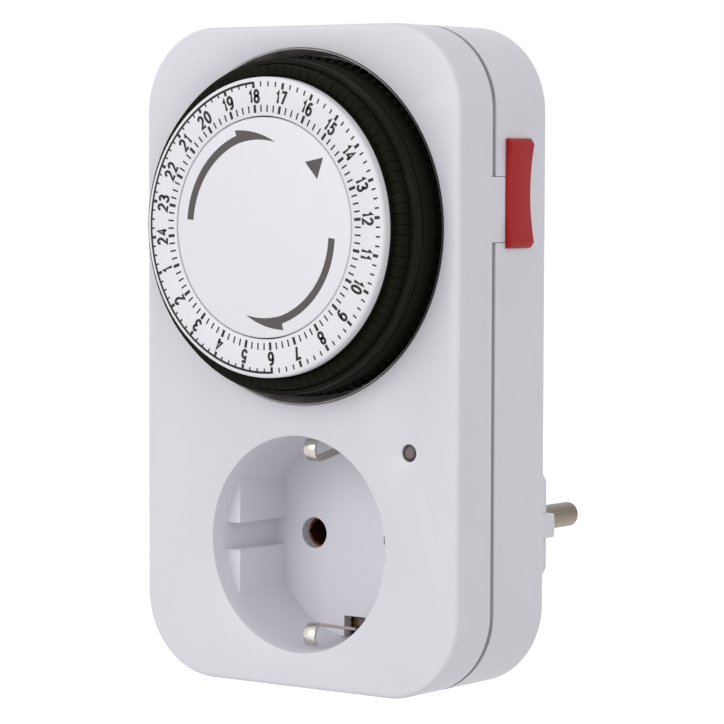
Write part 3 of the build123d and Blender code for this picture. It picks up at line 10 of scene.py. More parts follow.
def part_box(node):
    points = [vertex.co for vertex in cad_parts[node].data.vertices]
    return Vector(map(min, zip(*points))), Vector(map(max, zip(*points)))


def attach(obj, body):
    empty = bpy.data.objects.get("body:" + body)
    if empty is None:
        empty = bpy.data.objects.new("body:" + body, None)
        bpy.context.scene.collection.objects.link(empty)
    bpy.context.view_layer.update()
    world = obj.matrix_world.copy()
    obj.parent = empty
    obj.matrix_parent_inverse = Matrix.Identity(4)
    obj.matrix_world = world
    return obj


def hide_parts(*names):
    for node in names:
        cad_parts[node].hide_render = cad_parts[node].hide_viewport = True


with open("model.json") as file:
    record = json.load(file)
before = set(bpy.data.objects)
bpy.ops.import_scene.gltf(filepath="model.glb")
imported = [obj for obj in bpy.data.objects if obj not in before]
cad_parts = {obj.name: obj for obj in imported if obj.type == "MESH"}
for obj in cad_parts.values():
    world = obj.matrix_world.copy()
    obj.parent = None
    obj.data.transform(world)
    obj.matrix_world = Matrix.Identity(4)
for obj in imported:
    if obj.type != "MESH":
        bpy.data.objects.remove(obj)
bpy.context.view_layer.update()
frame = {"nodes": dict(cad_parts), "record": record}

# A plug-in 24 hour timer switch, hanging by its plug from a wall socket at Y = 0.
# Sizes are written in millimetres and turned into metres by MM.
MM = 0.001

ring_low, ring_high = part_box("numeral_ring")
disc_low, disc_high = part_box("centre_disc")
body_low, body_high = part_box("front_shell")
slide_low, slide_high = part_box("override_cap")
lens_low, lens_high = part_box("lamp_lens")
DIAL_Z = (ring_low.z + ring_high.z) / 2
DIAL_FRONT = ring_low.y
DISC_RADIUS = disc_high.x / MM
DISC_FRONT = disc_low.y
PRINT_PROUD = 0.02 * MM
HOUR_STEP = 360.0 / 24
RING_TURN = -4.8  # degrees clockwise from the top to hour 18
GROOVE_FROM_FRONT = 10.1
GROOVE_WIDTH = 1.1
RECESS_DEPTH = 17.5
ALONG_Y = (1, 0.05, 1)  # stretches a pattern into lines along Y


# ---------------------------------------------------------------- node helpers
def feed(tree, socket, value):
    """Link a socket to an output, or give it a plain value."""
    if isinstance(value, bpy.types.NodeSocket):
        tree.links.new(value, socket)
    else:
        socket.default_value = value


def noise(tree, vector, scale, detail, roughness=0.55, distortion=0.0):
    node = tree.nodes.new("ShaderNodeTexNoise")
    labels = ("Vector", "Scale", "Detail", "Roughness", "Distortion")
    for label, value in zip(labels, (vector, scale, detail, roughness, distortion)):
        feed(tree, node.inputs[label], value)
    return node.outputs["Fac"]


def maths(tree, operation, first, second=0.0):
    node = tree.nodes.new("ShaderNodeMath")
    node.operation = operation
    feed(tree, node.inputs[0], first)
    feed(tree, node.inputs[1], second)
    return node.outputs[0]


def vector_maths(tree, operation, first, second=(0, 0, 0)):
    node = tree.nodes.new("ShaderNodeVectorMath")
    node.operation = operation
    feed(tree, node.inputs[0], first)
    feed(tree, node.inputs[1], second)
    return node.outputs


def remap(tree, value, low, high, to_low, to_high):
    node = tree.nodes.new("ShaderNodeMapRange")
    labels = ("Value", "From Min", "From Max", "To Min", "To Max")
    for label, part in zip(labels, (value, low, high, to_low, to_high)):
        feed(tree, node.inputs[label], part)
    return node.outputs["Result"]


def mix_colours(tree, first, second, factor):
    """The first colour where the factor is 0, the second where it is 1."""
    mix = tree.nodes.new("ShaderNodeMix")
    mix.data_type = "RGBA"
    mix.clamp_factor = True
    for label, value in zip(("A", "B", "Factor"), (first, second, factor)):
        feed(tree, mix.inputs[label], value)
    return mix.outputs["Result"]


def stretch(tree, vector, factors):
    return vector_maths(tree, "MULTIPLY", vector, factors)["Vector"]


def parts_of(tree, vector):
    """The X, Y and Z of a vector."""
    split = tree.nodes.new("ShaderNodeSeparateXYZ")
    feed(tree, split.inputs[0], vector)
    return split.outputs


def flat_vector(tree, x, y):
    """A vector of an X and a Y, with no Z."""
    joined = tree.nodes.new("ShaderNodeCombineXYZ")
    feed(tree, joined.inputs["X"], x)
    feed(tree, joined.inputs["Y"], y)
    return joined.outputs[0]


def from_axis(tree, vector, centre=(0, 0, 0)):
    """How far a point is from the line through a centre along Y, in metres."""
    offset = vector_maths(tree, "SUBTRACT", vector, centre)["Vector"]
    return vector_maths(tree, "LENGTH", stretch(tree, offset, (1.0, 0.0, 1.0)))["Value"]


def along_y(tree, vector, start, stop):
    """0 up to one Y, in metres, and 1 beyond the other."""
    return remap(tree, parts_of(tree, vector)["Y"], start, stop, 0.0, 1.0)


# ---------------------------------------------------------------- shared finish groups
def finish_group(name, inputs, outputs):
    """A shader group with named sockets: its tree, its input node and its output node."""
    tree = bpy.data.node_groups.new(name, "ShaderNodeTree")
    for label, kind, value in inputs:
        socket = tree.interface.new_socket(name=label, in_out="INPUT", socket_type=kind)
        if value is not None:
            socket.default_value = value
    for label, kind in outputs:
        tree.interface.new_socket(name=label, in_out="OUTPUT", socket_type=kind)
    return tree, tree.nodes.new("NodeGroupInput"), tree.nodes.new("NodeGroupOutput")


def make_tone_drift():
    """Slow changes of tone over a moulding, about its own colour."""
    tree, start, end = finish_group(
        "tone drift",
        [("Vector", "NodeSocketVector", None), ("Colour", "NodeSocketColor", (0.8, 0.8, 0.8, 1)),
         ("Scale", "NodeSocketFloat", 40.0), ("Amount", "NodeSocketFloat", 0.03)],
        [("Colour", "NodeSocketColor")],
    )
    cloud = noise(tree, start.outputs["Vector"], start.outputs["Scale"], 2.0)
    darkest = maths(tree, "SUBTRACT", 1.0, start.outputs["Amount"])
    lightest = maths(tree, "ADD", 1.0, start.outputs["Amount"])
    scaled = tree.nodes.new("ShaderNodeVectorMath")
    scaled.operation = "SCALE"
    feed(tree, scaled.inputs[0], start.outputs["Colour"])
    feed(tree, scaled.inputs["Scale"], remap(tree, cloud, 0.3, 0.7, darkest, lightest))
    feed(tree, end.inputs["Colour"], scaled.outputs[0])
    return tree


def make_moulded_skin():
    """The height of a moulded surface: fine tool grain over a slow sink-mark swell."""
    tree, start, end = finish_group(
        "moulded skin",
        [("Vector", "NodeSocketVector", None), ("Grain", "NodeSocketFloat", 2500.0),
         ("Swell", "NodeSocketFloat", 90.0), ("Share", "NodeSocketFloat", 0.5)],
        [("Height", "NodeSocketFloat")],
    )
    fine = noise(tree, start.outputs["Vector"], start.outputs["Grain"], 2.0, 0.6)
    slow = noise(tree, start.outputs["Vector"], start.outputs["Swell"], 1.0, 0.4)
    rest = maths(tree, "SUBTRACT", 1.0, start.outputs["Share"])
    fine = maths(tree, "MULTIPLY", fine, start.outputs["Share"])
    slow = maths(tree, "MULTIPLY", slow, rest)
    feed(tree, end.inputs["Height"], maths(tree, "ADD", fine, slow))
    return tree


def make_handling_marks():
    """Two masks: rubbed patches, and hairline scratches along Z."""
    tree, start, end = finish_group(
        "handling marks",
        [("Vector", "NodeSocketVector", None), ("Scale", "NodeSocketFloat", 60.0)],
        [("Rubbed", "NodeSocketFloat"), ("Scratches", "NodeSocketFloat")],
    )
    vector, scale = start.outputs["Vector"], start.outputs["Scale"]
    patches = noise(tree, vector, scale, 5.0, 0.65, 0.4)
    feed(tree, end.inputs["Rubbed"], remap(tree, patches, 0.45, 0.75, 0.0, 1.0))
    lines = noise(tree, stretch(tree, vector, (14.0, 14.0, 1.1)), scale, 4.0, 0.7, 1.2)
    feed(tree, end.inputs["Scratches"], remap(tree, lines, 0.66, 0.72, 0.0, 1.0))
    return tree


def make_drawn_lines():
    """Fine parallel lines left on metal by drawing or brushing it along one direction."""
    tree, start, end = finish_group(
        "drawn lines",
        [("Vector", "NodeSocketVector", None), ("Fineness", "NodeSocketFloat", 900.0)],
        [("Height", "NodeSocketFloat"), ("Tarnish", "NodeSocketFloat")],
    )
    lines = noise(tree, start.outputs["Vector"], start.outputs["Fineness"], 3.0, 0.7)
    feed(tree, end.inputs["Height"], lines)
    blotches = noise(tree, start.outputs["Vector"], 160.0, 4.0, 0.6, 0.5)
    feed(tree, end.inputs["Tarnish"], remap(tree, blotches, 0.4, 0.7, 0.0, 1.0))
    return tree


def make_dial_streaks():
    """Streaks on the turned parts of the dial: across the side where fingers grip it (on the collar, the
    streaks of its painted reflection), and around it.
    """
    grip_stretch, ring_stretch = 40.0, 0.004
    tree, start, end = finish_group(
        "dial streaks",
        [("Vector", "NodeSocketVector", None), ("Round", "NodeSocketFloat", 60.0),
         ("Along", "NodeSocketFloat", 700.0)],
        [("Grip", "NodeSocketFloat"), ("Rings", "NodeSocketFloat")],
    )
    centred = tree.nodes.new("ShaderNodeMapping")
    centred.vector_type = "POINT"
    centred.inputs["Location"].default_value = (0, -DIAL_Z, 0)
    centred.inputs["Rotation"].default_value = (math.radians(-90), 0, 0)
    feed(tree, centred.inputs["Vector"], start.outputs["Vector"])
    place = parts_of(tree, centred.outputs[0])
    turn = maths(tree, "ARCTAN2", place["Y"], place["X"])
    depth = place["Z"]
    across = flat_vector(tree, turn, maths(tree, "MULTIPLY", depth, grip_stretch))
    feed(tree, end.inputs["Grip"], noise(tree, across, start.outputs["Round"], 3.0, 0.6))
    around = flat_vector(tree, maths(tree, "MULTIPLY", turn, ring_stretch), depth)
    feed(tree, end.inputs["Rings"], noise(tree, around, start.outputs["Along"], 2.0, 0.6))
    return tree


TONE_DRIFT = make_tone_drift()
MOULDED_SKIN = make_moulded_skin()
HANDLING_MARKS = make_handling_marks()
DRAWN_LINES = make_drawn_lines()
DIAL_STREAKS = make_dial_streaks()


# ---------------------------------------------------------------- finishes
def srgb(red, green, blue):
    """A colour given as 0 to 255 display values, turned into linear light."""
    parts = []
    for value in (red, green, blue):
        value /= 255
        parts.append(value / 12.92 if value <= 0.04045 else ((value + 0.055) / 1.055) ** 2.4)
    return (*parts, 1.0)


def place_group(tree, group, vector, **values):
    node = tree.nodes.new("ShaderNodeGroup")
    node.node_tree = group
    feed(tree, node.inputs["Vector"], vector)
    for label, value in values.items():
        feed(tree, node.inputs[label], value)
    return node.outputs


def start_finish(name, scale=(1, 1, 1)):
    """A new material with its shader and the Object coordinates that every pattern reads."""
    material = bpy.data.materials.new(name)
    material.use_nodes = True
    tree = material.node_tree
    shader = tree.nodes["Principled BSDF"]
    coordinates = tree.nodes.new("ShaderNodeTexCoord")
    mapping = tree.nodes.new("ShaderNodeMapping")
    feed(tree, mapping.inputs["Scale"], scale)
    feed(tree, mapping.inputs["Vector"], coordinates.outputs["Object"])
    return material, tree, shader, mapping.outputs[0]


def add_bump(tree, shader, height, strength, distance=0.05):
    bump = tree.nodes.new("ShaderNodeBump")
    feed(tree, bump.inputs["Strength"], strength)
    feed(tree, bump.inputs["Distance"], distance * MM)
    feed(tree, bump.inputs["Height"], height)
    feed(tree, shader.inputs["Normal"], bump.outputs["Normal"])


def lay_over(material, colour, factor):
    """Lay a colour over what a finished material's base colour is linked to."""
    tree = material.node_tree
    base = tree.nodes["Principled BSDF"].inputs["Base Color"]
    feed(tree, base, mix_colours(tree, base.links[0].from_socket, colour, factor))


def object_place(material):
    """The tree of a finished material and the plain Object coordinates in it."""
    tree = material.node_tree
    return tree, tree.nodes.new("ShaderNodeTexCoord").outputs["Object"]


def moulded(
    name, colour, roughness, grain=2500.0, bump=0.12, drift=0.02, rub=0.08, specular=0.5, light_through=0.0
):
    """Moulded plastic: slow tone drift, tool grain and rubbed patches."""
    material, tree, shader, vector = start_finish(name)
    tone = place_group(tree, TONE_DRIFT, vector, Colour=colour, Amount=drift, Scale=35.0)
    feed(tree, shader.inputs["Base Color"], tone["Colour"])
    marks = place_group(tree, HANDLING_MARKS, vector, Scale=70.0)
    level = remap(tree, marks["Rubbed"], 0.0, 1.0, roughness, roughness - rub)
    level = maths(tree, "ADD", level, maths(tree, "MULTIPLY", marks["Scratches"], rub))
    feed(tree, shader.inputs["Roughness"], level)
    skin = place_group(tree, MOULDED_SKIN, vector, Grain=grain)
    add_bump(tree, shader, skin["Height"], bump)
    feed(tree, shader.inputs["Specular IOR Level"], specular)
    if light_through:
        feed(tree, shader.inputs["Subsurface Weight"], light_through)
        feed(tree, shader.inputs["Subsurface Radius"], (1.0, 0.9, 0.8))
        feed(tree, shader.inputs["Subsurface Scale"], 0.6 * MM)
    return material


def dial_moulding(name, colour, worn, roughness, specular, around=60.0):
    """Black plastic of the dial, with grip streaks worn lighter."""
    gloss = 0.12
    material, tree, shader, vector = start_finish(name)
    streaks = place_group(tree, DIAL_STREAKS, vector, Round=around)
    grip = remap(tree, streaks["Grip"], 0.52, 0.78, 0.0, 0.8)
    rings = remap(tree, streaks["Rings"], 0.55, 0.8, 0.0, 0.6)
    mask = maths(tree, "ADD", grip, rings)
    feed(tree, shader.inputs["Base Color"], mix_colours(tree, colour, worn, mask))
    level = remap(tree, streaks["Rings"], 0.3, 0.7, roughness, roughness - gloss)
    feed(tree, shader.inputs["Roughness"], level)
    skin = place_group(tree, MOULDED_SKIN, vector, Grain=1800.0, Swell=200.0)
    add_bump(tree, shader, skin["Height"], 0.25)
    feed(tree, shader.inputs["Specular IOR Level"], specular)
    return material


def collar_moulding(name):
    """Glossy black plastic of the collar, with painted reflection over its top and bottom: grey, with paler
    painted streaks.
    """
    reflection_start, reflection_full = 21.0 * MM, 29.0 * MM
    rim_start, rim_end = 31.95 * MM, 32.15 * MM
    material, tree, shader, vector = start_finish(name)
    streaks = place_group(tree, DIAL_STREAKS, vector, Round=5.0, Along=500.0)
    height = maths(tree, "ABSOLUTE", maths(tree, "SUBTRACT", parts_of(tree, vector)["Z"], DIAL_Z))
    # painted reflection: grey laid over the black, stronger towards the top and bottom and stopping inside
    # the rim
    painted_reflection = remap(tree, height, reflection_start, reflection_full, 0.0, 0.9)
    inside_rim = remap(tree, from_axis(tree, vector, (0, 0, DIAL_Z)), rim_start, rim_end, 1.0, 0.0)
    painted_reflection = maths(tree, "MULTIPLY", painted_reflection, inside_rim)
    # painted reflection: paler streaks within the painted grey
    pale = remap(tree, streaks["Grip"], 0.45, 0.65, 0.75, 1.4)
    mask = maths(tree, "MULTIPLY", painted_reflection, pale)
    feed(tree, shader.inputs["Base Color"], mix_colours(tree, srgb(40, 37, 37), srgb(226, 218, 218), mask))
    feed(tree, shader.inputs["Roughness"], remap(tree, streaks["Rings"], 0.3, 0.7, 0.46, 0.36))
    skin = place_group(tree, MOULDED_SKIN, vector, Grain=1800.0, Swell=200.0)
    add_bump(tree, shader, skin["Height"], 0.08)
    feed(tree, shader.inputs["Specular IOR Level"], 0.9)
    return material


def housing_moulding(name, colour):
    """The housing's white, with painted shade down in the joint groove but not in the socket recess."""
    fade = 0.05
    recess_reach, recess_fade = 24.0, 0.2
    skin_depth = 0.3
    groove_shade_share = 0.4
    material = moulded(name, colour, 0.4, bump=0.1, drift=0.012, light_through=0.08)
    tree, vector = object_place(material)
    groove = body_low.y + GROOVE_FROM_FRONT * MM
    groove_end = groove + GROOVE_WIDTH * MM
    after = along_y(tree, vector, groove - fade * MM, groove)
    before = along_y(tree, vector, groove_end + fade * MM, groove_end)
    in_groove = maths(tree, "MULTIPLY", after, before)
    reach = from_axis(tree, vector)
    beyond = remap(tree, reach, recess_reach * MM, (recess_reach + recess_fade) * MM, 0.0, 1.0)
    side = maths(tree, "ABSOLUTE", parts_of(tree, vector)["X"])
    outer_side = body_high.x - skin_depth * MM
    sunk = remap(tree, side, outer_side - fade * MM, outer_side, groove_shade_share, 0.0)
    # painted shade: grey in the joint groove, fading out before the housing's outer skin
    painted_groove_shade = maths(tree, "MULTIPLY", in_groove, maths(tree, "MULTIPLY", beyond, sunk))
    lay_over(material, srgb(120, 118, 126), painted_groove_shade)
    return material


def drawn_metal(name, colour, tarnish, roughness, along=(1, 1, 0.04), fineness=1400.0, bump=0.1):
    """Plated or bare metal with lines along its length and faint tarnish."""
    material, tree, shader, vector = start_finish(name, scale=along)
    lines = place_group(tree, DRAWN_LINES, vector, Fineness=fineness)
    mask = maths(tree, "MULTIPLY", lines["Tarnish"], 0.7)
    feed(tree, shader.inputs["Base Color"], mix_colours(tree, colour, tarnish, mask))
    feed(tree, shader.inputs["Metallic"], 1.0)
    level = remap(tree, lines["Height"], 0.3, 0.7, roughness - 0.06, roughness + 0.1)
    feed(tree, shader.inputs["Roughness"], level)
    add_bump(tree, shader, lines["Height"], bump, 0.03)
    return material


def clip_metal(name):
    """Nickel of the clips, with painted shade over them where they run behind the socket's floor."""
    shade_fade_start, shade_full_from = -1.5, 0.2
    material = drawn_metal(name, srgb(214, 209, 202), srgb(150, 138, 126), 0.22, ALONG_Y)
    tree, vector = object_place(material)
    floor = body_low.y + RECESS_DEPTH * MM
    # painted shade: dark grey-brown beyond the socket's floor, where the clips are seen through its slots
    dull = along_y(tree, vector, floor + shade_fade_start * MM, floor + shade_full_from * MM)
    lay_over(material, srgb(74, 66, 64), dull)
    return material


def printed(name, colour, thin):
    """Pad-printed ink, a little thinner in places."""
    thinnest = 0.5
    material, tree, shader, vector = start_finish(name)
    cover = remap(tree, noise(tree, vector, 1500.0, 3.0, 0.7), 0.55, 0.8, 0.0, thinnest)
    feed(tree, shader.inputs["Base Color"], mix_colours(tree, colour, thin, cover))
    feed(tree, shader.inputs["Roughness"], remap(tree, cover, 0.0, thinnest, 0.45, 0.6))
    feed(tree, shader.inputs["Specular IOR Level"], 0.3)
    return material


def indicator_lens(name):
    """A dull translucent lens: a paler middle in a ring of painted shade, for the shadowed gap round the lens
    in its hole.
    """
    material, tree, shader, vector = start_finish(name)
    reach = from_axis(tree, vector, (lens_low + lens_high) / 2)
    radius = (lens_high.x - lens_low.x) / 2
    # painted shade: the dark outer ring
    ring = remap(tree, reach, radius * 0.35, radius * 0.45, 0.0, 1.0)
    tone = place_group(tree, TONE_DRIFT, vector, Colour=srgb(118, 100, 100), Amount=0.2, Scale=500.0)
    feed(tree, shader.inputs["Base Color"], mix_colours(tree, tone["Colour"], srgb(46, 34, 37), ring))
    feed(tree, shader.inputs["Roughness"], 0.3)
    feed(tree, shader.inputs["Transmission Weight"], 0.1)
    skin = place_group(tree, MOULDED_SKIN, vector, Grain=900.0)
    add_bump(tree, shader, skin["Height"], 0.1)
    return material


def bulb_glass(name):
    """Clear glass with faint waves."""
    material, tree, shader, vector = start_finish(name)
    tone = place_group(tree, TONE_DRIFT, vector, Colour=(0.95, 0.93, 0.9, 1), Amount=0.04, Scale=300.0)
    feed(tree, shader.inputs["Base Color"], tone["Colour"])
    feed(tree, shader.inputs["Roughness"], 0.03)
    feed(tree, shader.inputs["Transmission Weight"], 1.0)
    feed(tree, shader.inputs["IOR"], 1.47)
    add_bump(tree, shader, noise(tree, vector, 350.0, 1.0), 0.08, 0.1)
    return material


FINISH = {
    "housing_white": housing_moulding("housing white", srgb(228, 226, 232)),
    "dial_black": dial_moulding("dial black", srgb(24, 24, 17), srgb(46, 45, 37), 0.55, 0.07),
    "segment_black": dial_moulding("segment black", srgb(24, 24, 17), srgb(38, 37, 30), 0.6, 0.04, 90.0),
    "print_white": moulded("dial face white", srgb(238, 236, 240), 0.42, bump=0.05, drift=0.01, rub=0.05),
    "slide_red": moulded("slide red", srgb(172, 22, 27), 0.45, drift=0.06, rub=0.1, specular=0.22),
    "plate_grey": moulded("plate grey", srgb(176, 178, 181), 0.55, bump=0.2, drift=0.03),
    "gear_natural": moulded("gear natural", srgb(236, 231, 216), 0.45, bump=0.1, light_through=0.2),
    "switch_black": moulded("switch black", srgb(44, 44, 45), 0.5, grain=1600.0, bump=0.3, drift=0.1),
    "carrier_cream": moulded("carrier cream", srgb(229, 226, 214), 0.5, bump=0.15),
    "steel": drawn_metal("zinc steel", srgb(196, 196, 192), srgb(150, 148, 140), 0.32),
    "brass": drawn_metal("brass", srgb(214, 176, 104), srgb(150, 106, 56), 0.26, ALONG_Y),
    "nickel": drawn_metal("nickel", srgb(206, 200, 192), srgb(148, 136, 122), 0.24, ALONG_Y),
    "copper": drawn_metal(
        "enamelled copper", srgb(190, 112, 70), srgb(132, 66, 38), 0.3, (1, 1, 1), fineness=2600.0, bump=0.4
    ),
    "lens_red": indicator_lens("indicator lens"),
    "bulb_glass": bulb_glass("bulb glass"),
    "resistor_body": moulded("resistor body", srgb(214, 190, 150), 0.5, bump=0.2, drift=0.05),
    "wire_brown": moulded("wire brown", srgb(110, 74, 52), 0.55, bump=0.2, drift=0.06),
    "wire_black": moulded("wire black", srgb(46, 46, 46), 0.5, bump=0.2, drift=0.1),
    "wire_blue": moulded("wire blue", srgb(66, 98, 160), 0.52, bump=0.2, drift=0.06),
}
COLLAR_GLOSS = collar_moulding("collar gloss black")
# painted shade: darker finishes for parts deep behind the socket's slots
CONTACT_IN_PAINTED_SHADE = drawn_metal("contact brown in painted shade", srgb(132, 78, 60), srgb(92, 52, 40), 0.55, ALONG_Y)
PIN_NICKEL = drawn_metal(
    "pin nickel", srgb(146, 132, 114), srgb(84, 73, 62), 0.26, (1, 0.03, 1), fineness=1000.0, bump=0.2
)
STRAP_IN_PAINTED_SHADE = drawn_metal("strap in painted shade", srgb(96, 88, 84), srgb(66, 58, 54), 0.6)
CARRIER_IN_PAINTED_SHADE = moulded("carrier in painted shade", srgb(74, 71, 70), 0.6, bump=0.15, drift=0.05, specular=0.2)
NUMERAL_INK = printed("numeral ink", srgb(34, 32, 34), srgb(70, 68, 70))
ARROW_INK = printed("arrow ink", srgb(88, 83, 83), srgb(112, 107, 107))


# ---------------------------------------------------------------- building pieces
def add_piece(name, mesh, finish, body, replaced=()):
    """Put a finished mesh in the scene, with its finish, on its body, and hide the nodes it stands for."""
    piece = bpy.data.objects.new(name, mesh)
    bpy.context.scene.collection.objects.link(piece)
    mesh.materials.clear()
    mesh.materials.append(finish)
    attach(piece, body)
    if replaced:
        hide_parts(*replaced)
    return piece


def smooth_between(mesh, angle=32.0):
    """Smooth shading that breaks at edges sharper than an angle in degrees."""
    mesh.shade_smooth()
    mesh.set_sharp_from_angle(angle=math.radians(angle))


def rounded_copy(node, edge=0.0, level=None, flat_angle=1.0):
    """A welded copy of a node's mesh, its flat faces cleaned and its edges (at one Y, if given) rounded."""
    sharp_angle = math.radians(28.0)
    mesh = frame["nodes"][node].data.copy()
    work = bmesh.new()
    work.from_mesh(mesh)
    bmesh.ops.remove_doubles(work, verts=work.verts, dist=0.002 * MM)
    if edge:
        surface = BVHTree.FromBMesh(work)
        bmesh.ops.dissolve_limit(
            work, angle_limit=math.radians(flat_angle), verts=work.verts, edges=work.edges, delimit=set()
        )
        sharp = [
            e for e in work.edges
            if len(e.link_faces) == 2 and e.calc_face_angle(0.0) > sharp_angle
            and (level is None or all(abs(v.co.y - level) < 0.02 * MM for v in e.verts))
        ]
        bmesh.ops.bevel(
            work, geom=sharp, offset=edge * MM, offset_type="OFFSET", segments=2, profile=0.5,
            affect="EDGES", clamp_overlap=False, loop_slide=True,
        )
        for corner in work.verts:
            place, _, _, gap = surface.find_nearest(corner.co)
            if gap > edge * 0.5 * MM:
                corner.co = place
        bmesh.ops.triangulate(work, faces=[f for f in work.faces if len(f.verts) > 4])
    work.to_mesh(mesh)
    work.free()
    if "custom_normal" in mesh.attributes:
        mesh.attributes.remove(mesh.attributes["custom_normal"])
    smooth_between(mesh)
    return mesh


def replace_with_rounded(name, node, edge, finish=None, **options):
    """The finer copy of a node, in the same place and on the same body."""
    slot = slot_of[node]
    mesh = rounded_copy(node, edge, **options)
    return add_piece(name, mesh, finish or FINISH[slot], body_of[node], (node,))


def boxed(work, x_low, x_high, y_low, y_high, z_low, z_high):
    """Add a box, in millimetres, to a mesh being built."""
    corners = [
        work.verts.new(Vector((x, y, z)) * MM)
        for x in (x_low, x_high) for y in (y_low, y_high) for z in (z_low, z_high)
    ]
    for face in ((0, 1, 3, 2), (4, 6, 7, 5), (0, 4, 5, 1), (2, 3, 7, 6), (0, 2, 6, 4), (1, 5, 7, 3)):
        work.faces.new([corners[i] for i in face])


def turned(points):
    """A closed outline of (radius, y) points in mm, turned about the dial's axis."""
    steps = 240
    work = bmesh.new()
    rings = []
    for k in range(steps):
        turn = 2 * math.pi * k / steps
        across, up = math.cos(turn), math.sin(turn)
        rings.append([work.verts.new((r * across * MM, y * MM, DIAL_Z + r * up * MM)) for r, y in points])
    for k in range(steps):
        here, there = rings[k], rings[(k + 1) % steps]
        for i in range(len(points)):
            j = (i + 1) % len(points)
            work.faces.new((here[i], here[j], there[j], there[i]))
    bmesh.ops.remove_doubles(work, verts=work.verts, dist=0.0005 * MM)
    bmesh.ops.recalc_face_normals(work, faces=work.faces)
    mesh = bpy.data.meshes.new("turned")
    work.to_mesh(mesh)
    work.free()
    smooth_between(mesh)
    return mesh


def rounded_corner(radius, y, edge, outward, forward, steps=4):
    """Points of a quarter round in an outline, before the corner at (radius, y)."""
    middle_radius, middle_y = radius - outward * edge, y - forward * edge
    turns = [math.pi / 2 * k / steps for k in range(steps + 1)]
    return [
        (middle_radius + outward * edge * math.cos(a), middle_y + forward * edge * math.sin(a)) for a in turns
    ]


def node_radii(node):
    """The smallest and the largest distance of a node's mesh from the dial's axis, in mm."""
    reach = [math.hypot(v.co.x, v.co.z - DIAL_Z) / MM for v in frame["nodes"][node].data.vertices]
    return min(reach), max(reach)


# ---------------------------------------------------------------- repeats round the dial
def make_round_dial_tree():
    """Copies a piece, modelled on the +X side of the dial, to equal places round the dial's axis."""
    tree = bpy.data.node_groups.new("round the dial", "GeometryNodeTree")
    tree.interface.new_socket(name="Geometry", in_out="INPUT", socket_type="NodeSocketGeometry")
    for label, kind in (
        ("Piece", "NodeSocketObject"), ("Count", "NodeSocketInt"), ("First", "NodeSocketInt"),
        ("Pitch", "NodeSocketFloat"), ("Turn", "NodeSocketFloat"), ("Centre", "NodeSocketVector"),
        ("Finish", "NodeSocketMaterial"),
    ):
        tree.interface.new_socket(name=label, in_out="INPUT", socket_type=kind)
    tree.interface.new_socket(name="Geometry", in_out="OUTPUT", socket_type="NodeSocketGeometry")
    nodes, links = tree.nodes, tree.links
    start, end = nodes.new("NodeGroupInput"), nodes.new("NodeGroupOutput")
    points = nodes.new("GeometryNodePoints")
    links.new(start.outputs["Count"], points.inputs["Count"])
    links.new(start.outputs["Centre"], points.inputs["Position"])
    index = nodes.new("GeometryNodeInputIndex")
    angle = nodes.new("ShaderNodeMath")
    angle.operation = "MULTIPLY_ADD"
    links.new(maths(tree, "ADD", index.outputs[0], start.outputs["First"]), angle.inputs[0])
    links.new(start.outputs["Pitch"], angle.inputs[1])
    links.new(start.outputs["Turn"], angle.inputs[2])
    about_y = nodes.new("ShaderNodeCombineXYZ")
    links.new(angle.outputs[0], about_y.inputs["Y"])
    rotation = nodes.new("FunctionNodeEulerToRotation")
    links.new(about_y.outputs[0], rotation.inputs[0])
    piece = nodes.new("GeometryNodeObjectInfo")
    piece.transform_space = "ORIGINAL"
    links.new(start.outputs["Piece"], piece.inputs["Object"])
    copies = nodes.new("GeometryNodeInstanceOnPoints")
    links.new(points.outputs[0], copies.inputs["Points"])
    links.new(piece.outputs["Geometry"], copies.inputs["Instance"])
    links.new(rotation.outputs[0], copies.inputs["Rotation"])
    real = nodes.new("GeometryNodeRealizeInstances")
    links.new(copies.outputs[0], real.inputs[0])
    finish = nodes.new("GeometryNodeSetMaterial")
    links.new(real.outputs[0], finish.inputs["Geometry"])
    links.new(start.outputs["Finish"], finish.inputs["Material"])
    links.new(finish.outputs[0], end.inputs[0])
    return tree


ROUND_THE_DIAL = make_round_dial_tree()


def repeat_round_dial(name, work, count, pitch, finish, first=0, turn=0.0):
    """Run the tree on one small piece (a bmesh about the dial's axis) and return the plain mesh."""
    small = bpy.data.meshes.new(name + "_one")
    work.to_mesh(small)
    work.free()
    one = bpy.data.objects.new(name + "_one", small)
    holder = bpy.data.objects.new(name + "_all", bpy.data.meshes.new(name + "_all"))
    for item in (one, holder):
        bpy.context.scene.collection.objects.link(item)
    modifier = holder.modifiers.new("repeat", "NODES")
    modifier.node_group = ROUND_THE_DIAL
    items = ROUND_THE_DIAL.interface.items_tree
    sockets = {item.name: item.identifier for item in items if item.in_out == "INPUT"}
    values = {
        "Piece": one, "Count": count, "First": first, "Pitch": math.radians(pitch),
        "Turn": math.radians(turn), "Centre": (0.0, 0.0, DIAL_Z), "Finish": finish,
    }
    for label, value in values.items():
        modifier[sockets[label]] = value
    bpy.context.view_layer.update()
    solid = holder.evaluated_get(bpy.context.evaluated_depsgraph_get())
    mesh = bpy.data.meshes.new_from_object(solid)
    holder.modifiers.clear()
    bpy.data.objects.remove(holder)
    bpy.data.objects.remove(one)
    smooth_between(mesh)
    return mesh


# ---------------------------------------------------------------- dial pieces
SEGMENTS = 96
SEGMENT_PITCH = 360.0 / SEGMENTS
FREE_FROM = 56
FREE_COUNT = 4
SEGMENT_DEPTH = 2.15
SEGMENT_HEIGHT = 2.8
SEGMENT_GAP = 0.06
SEGMENT_SLOPE = 0.35
SEGMENT_EDGE = 0.05
STEM_HALF = 0.45


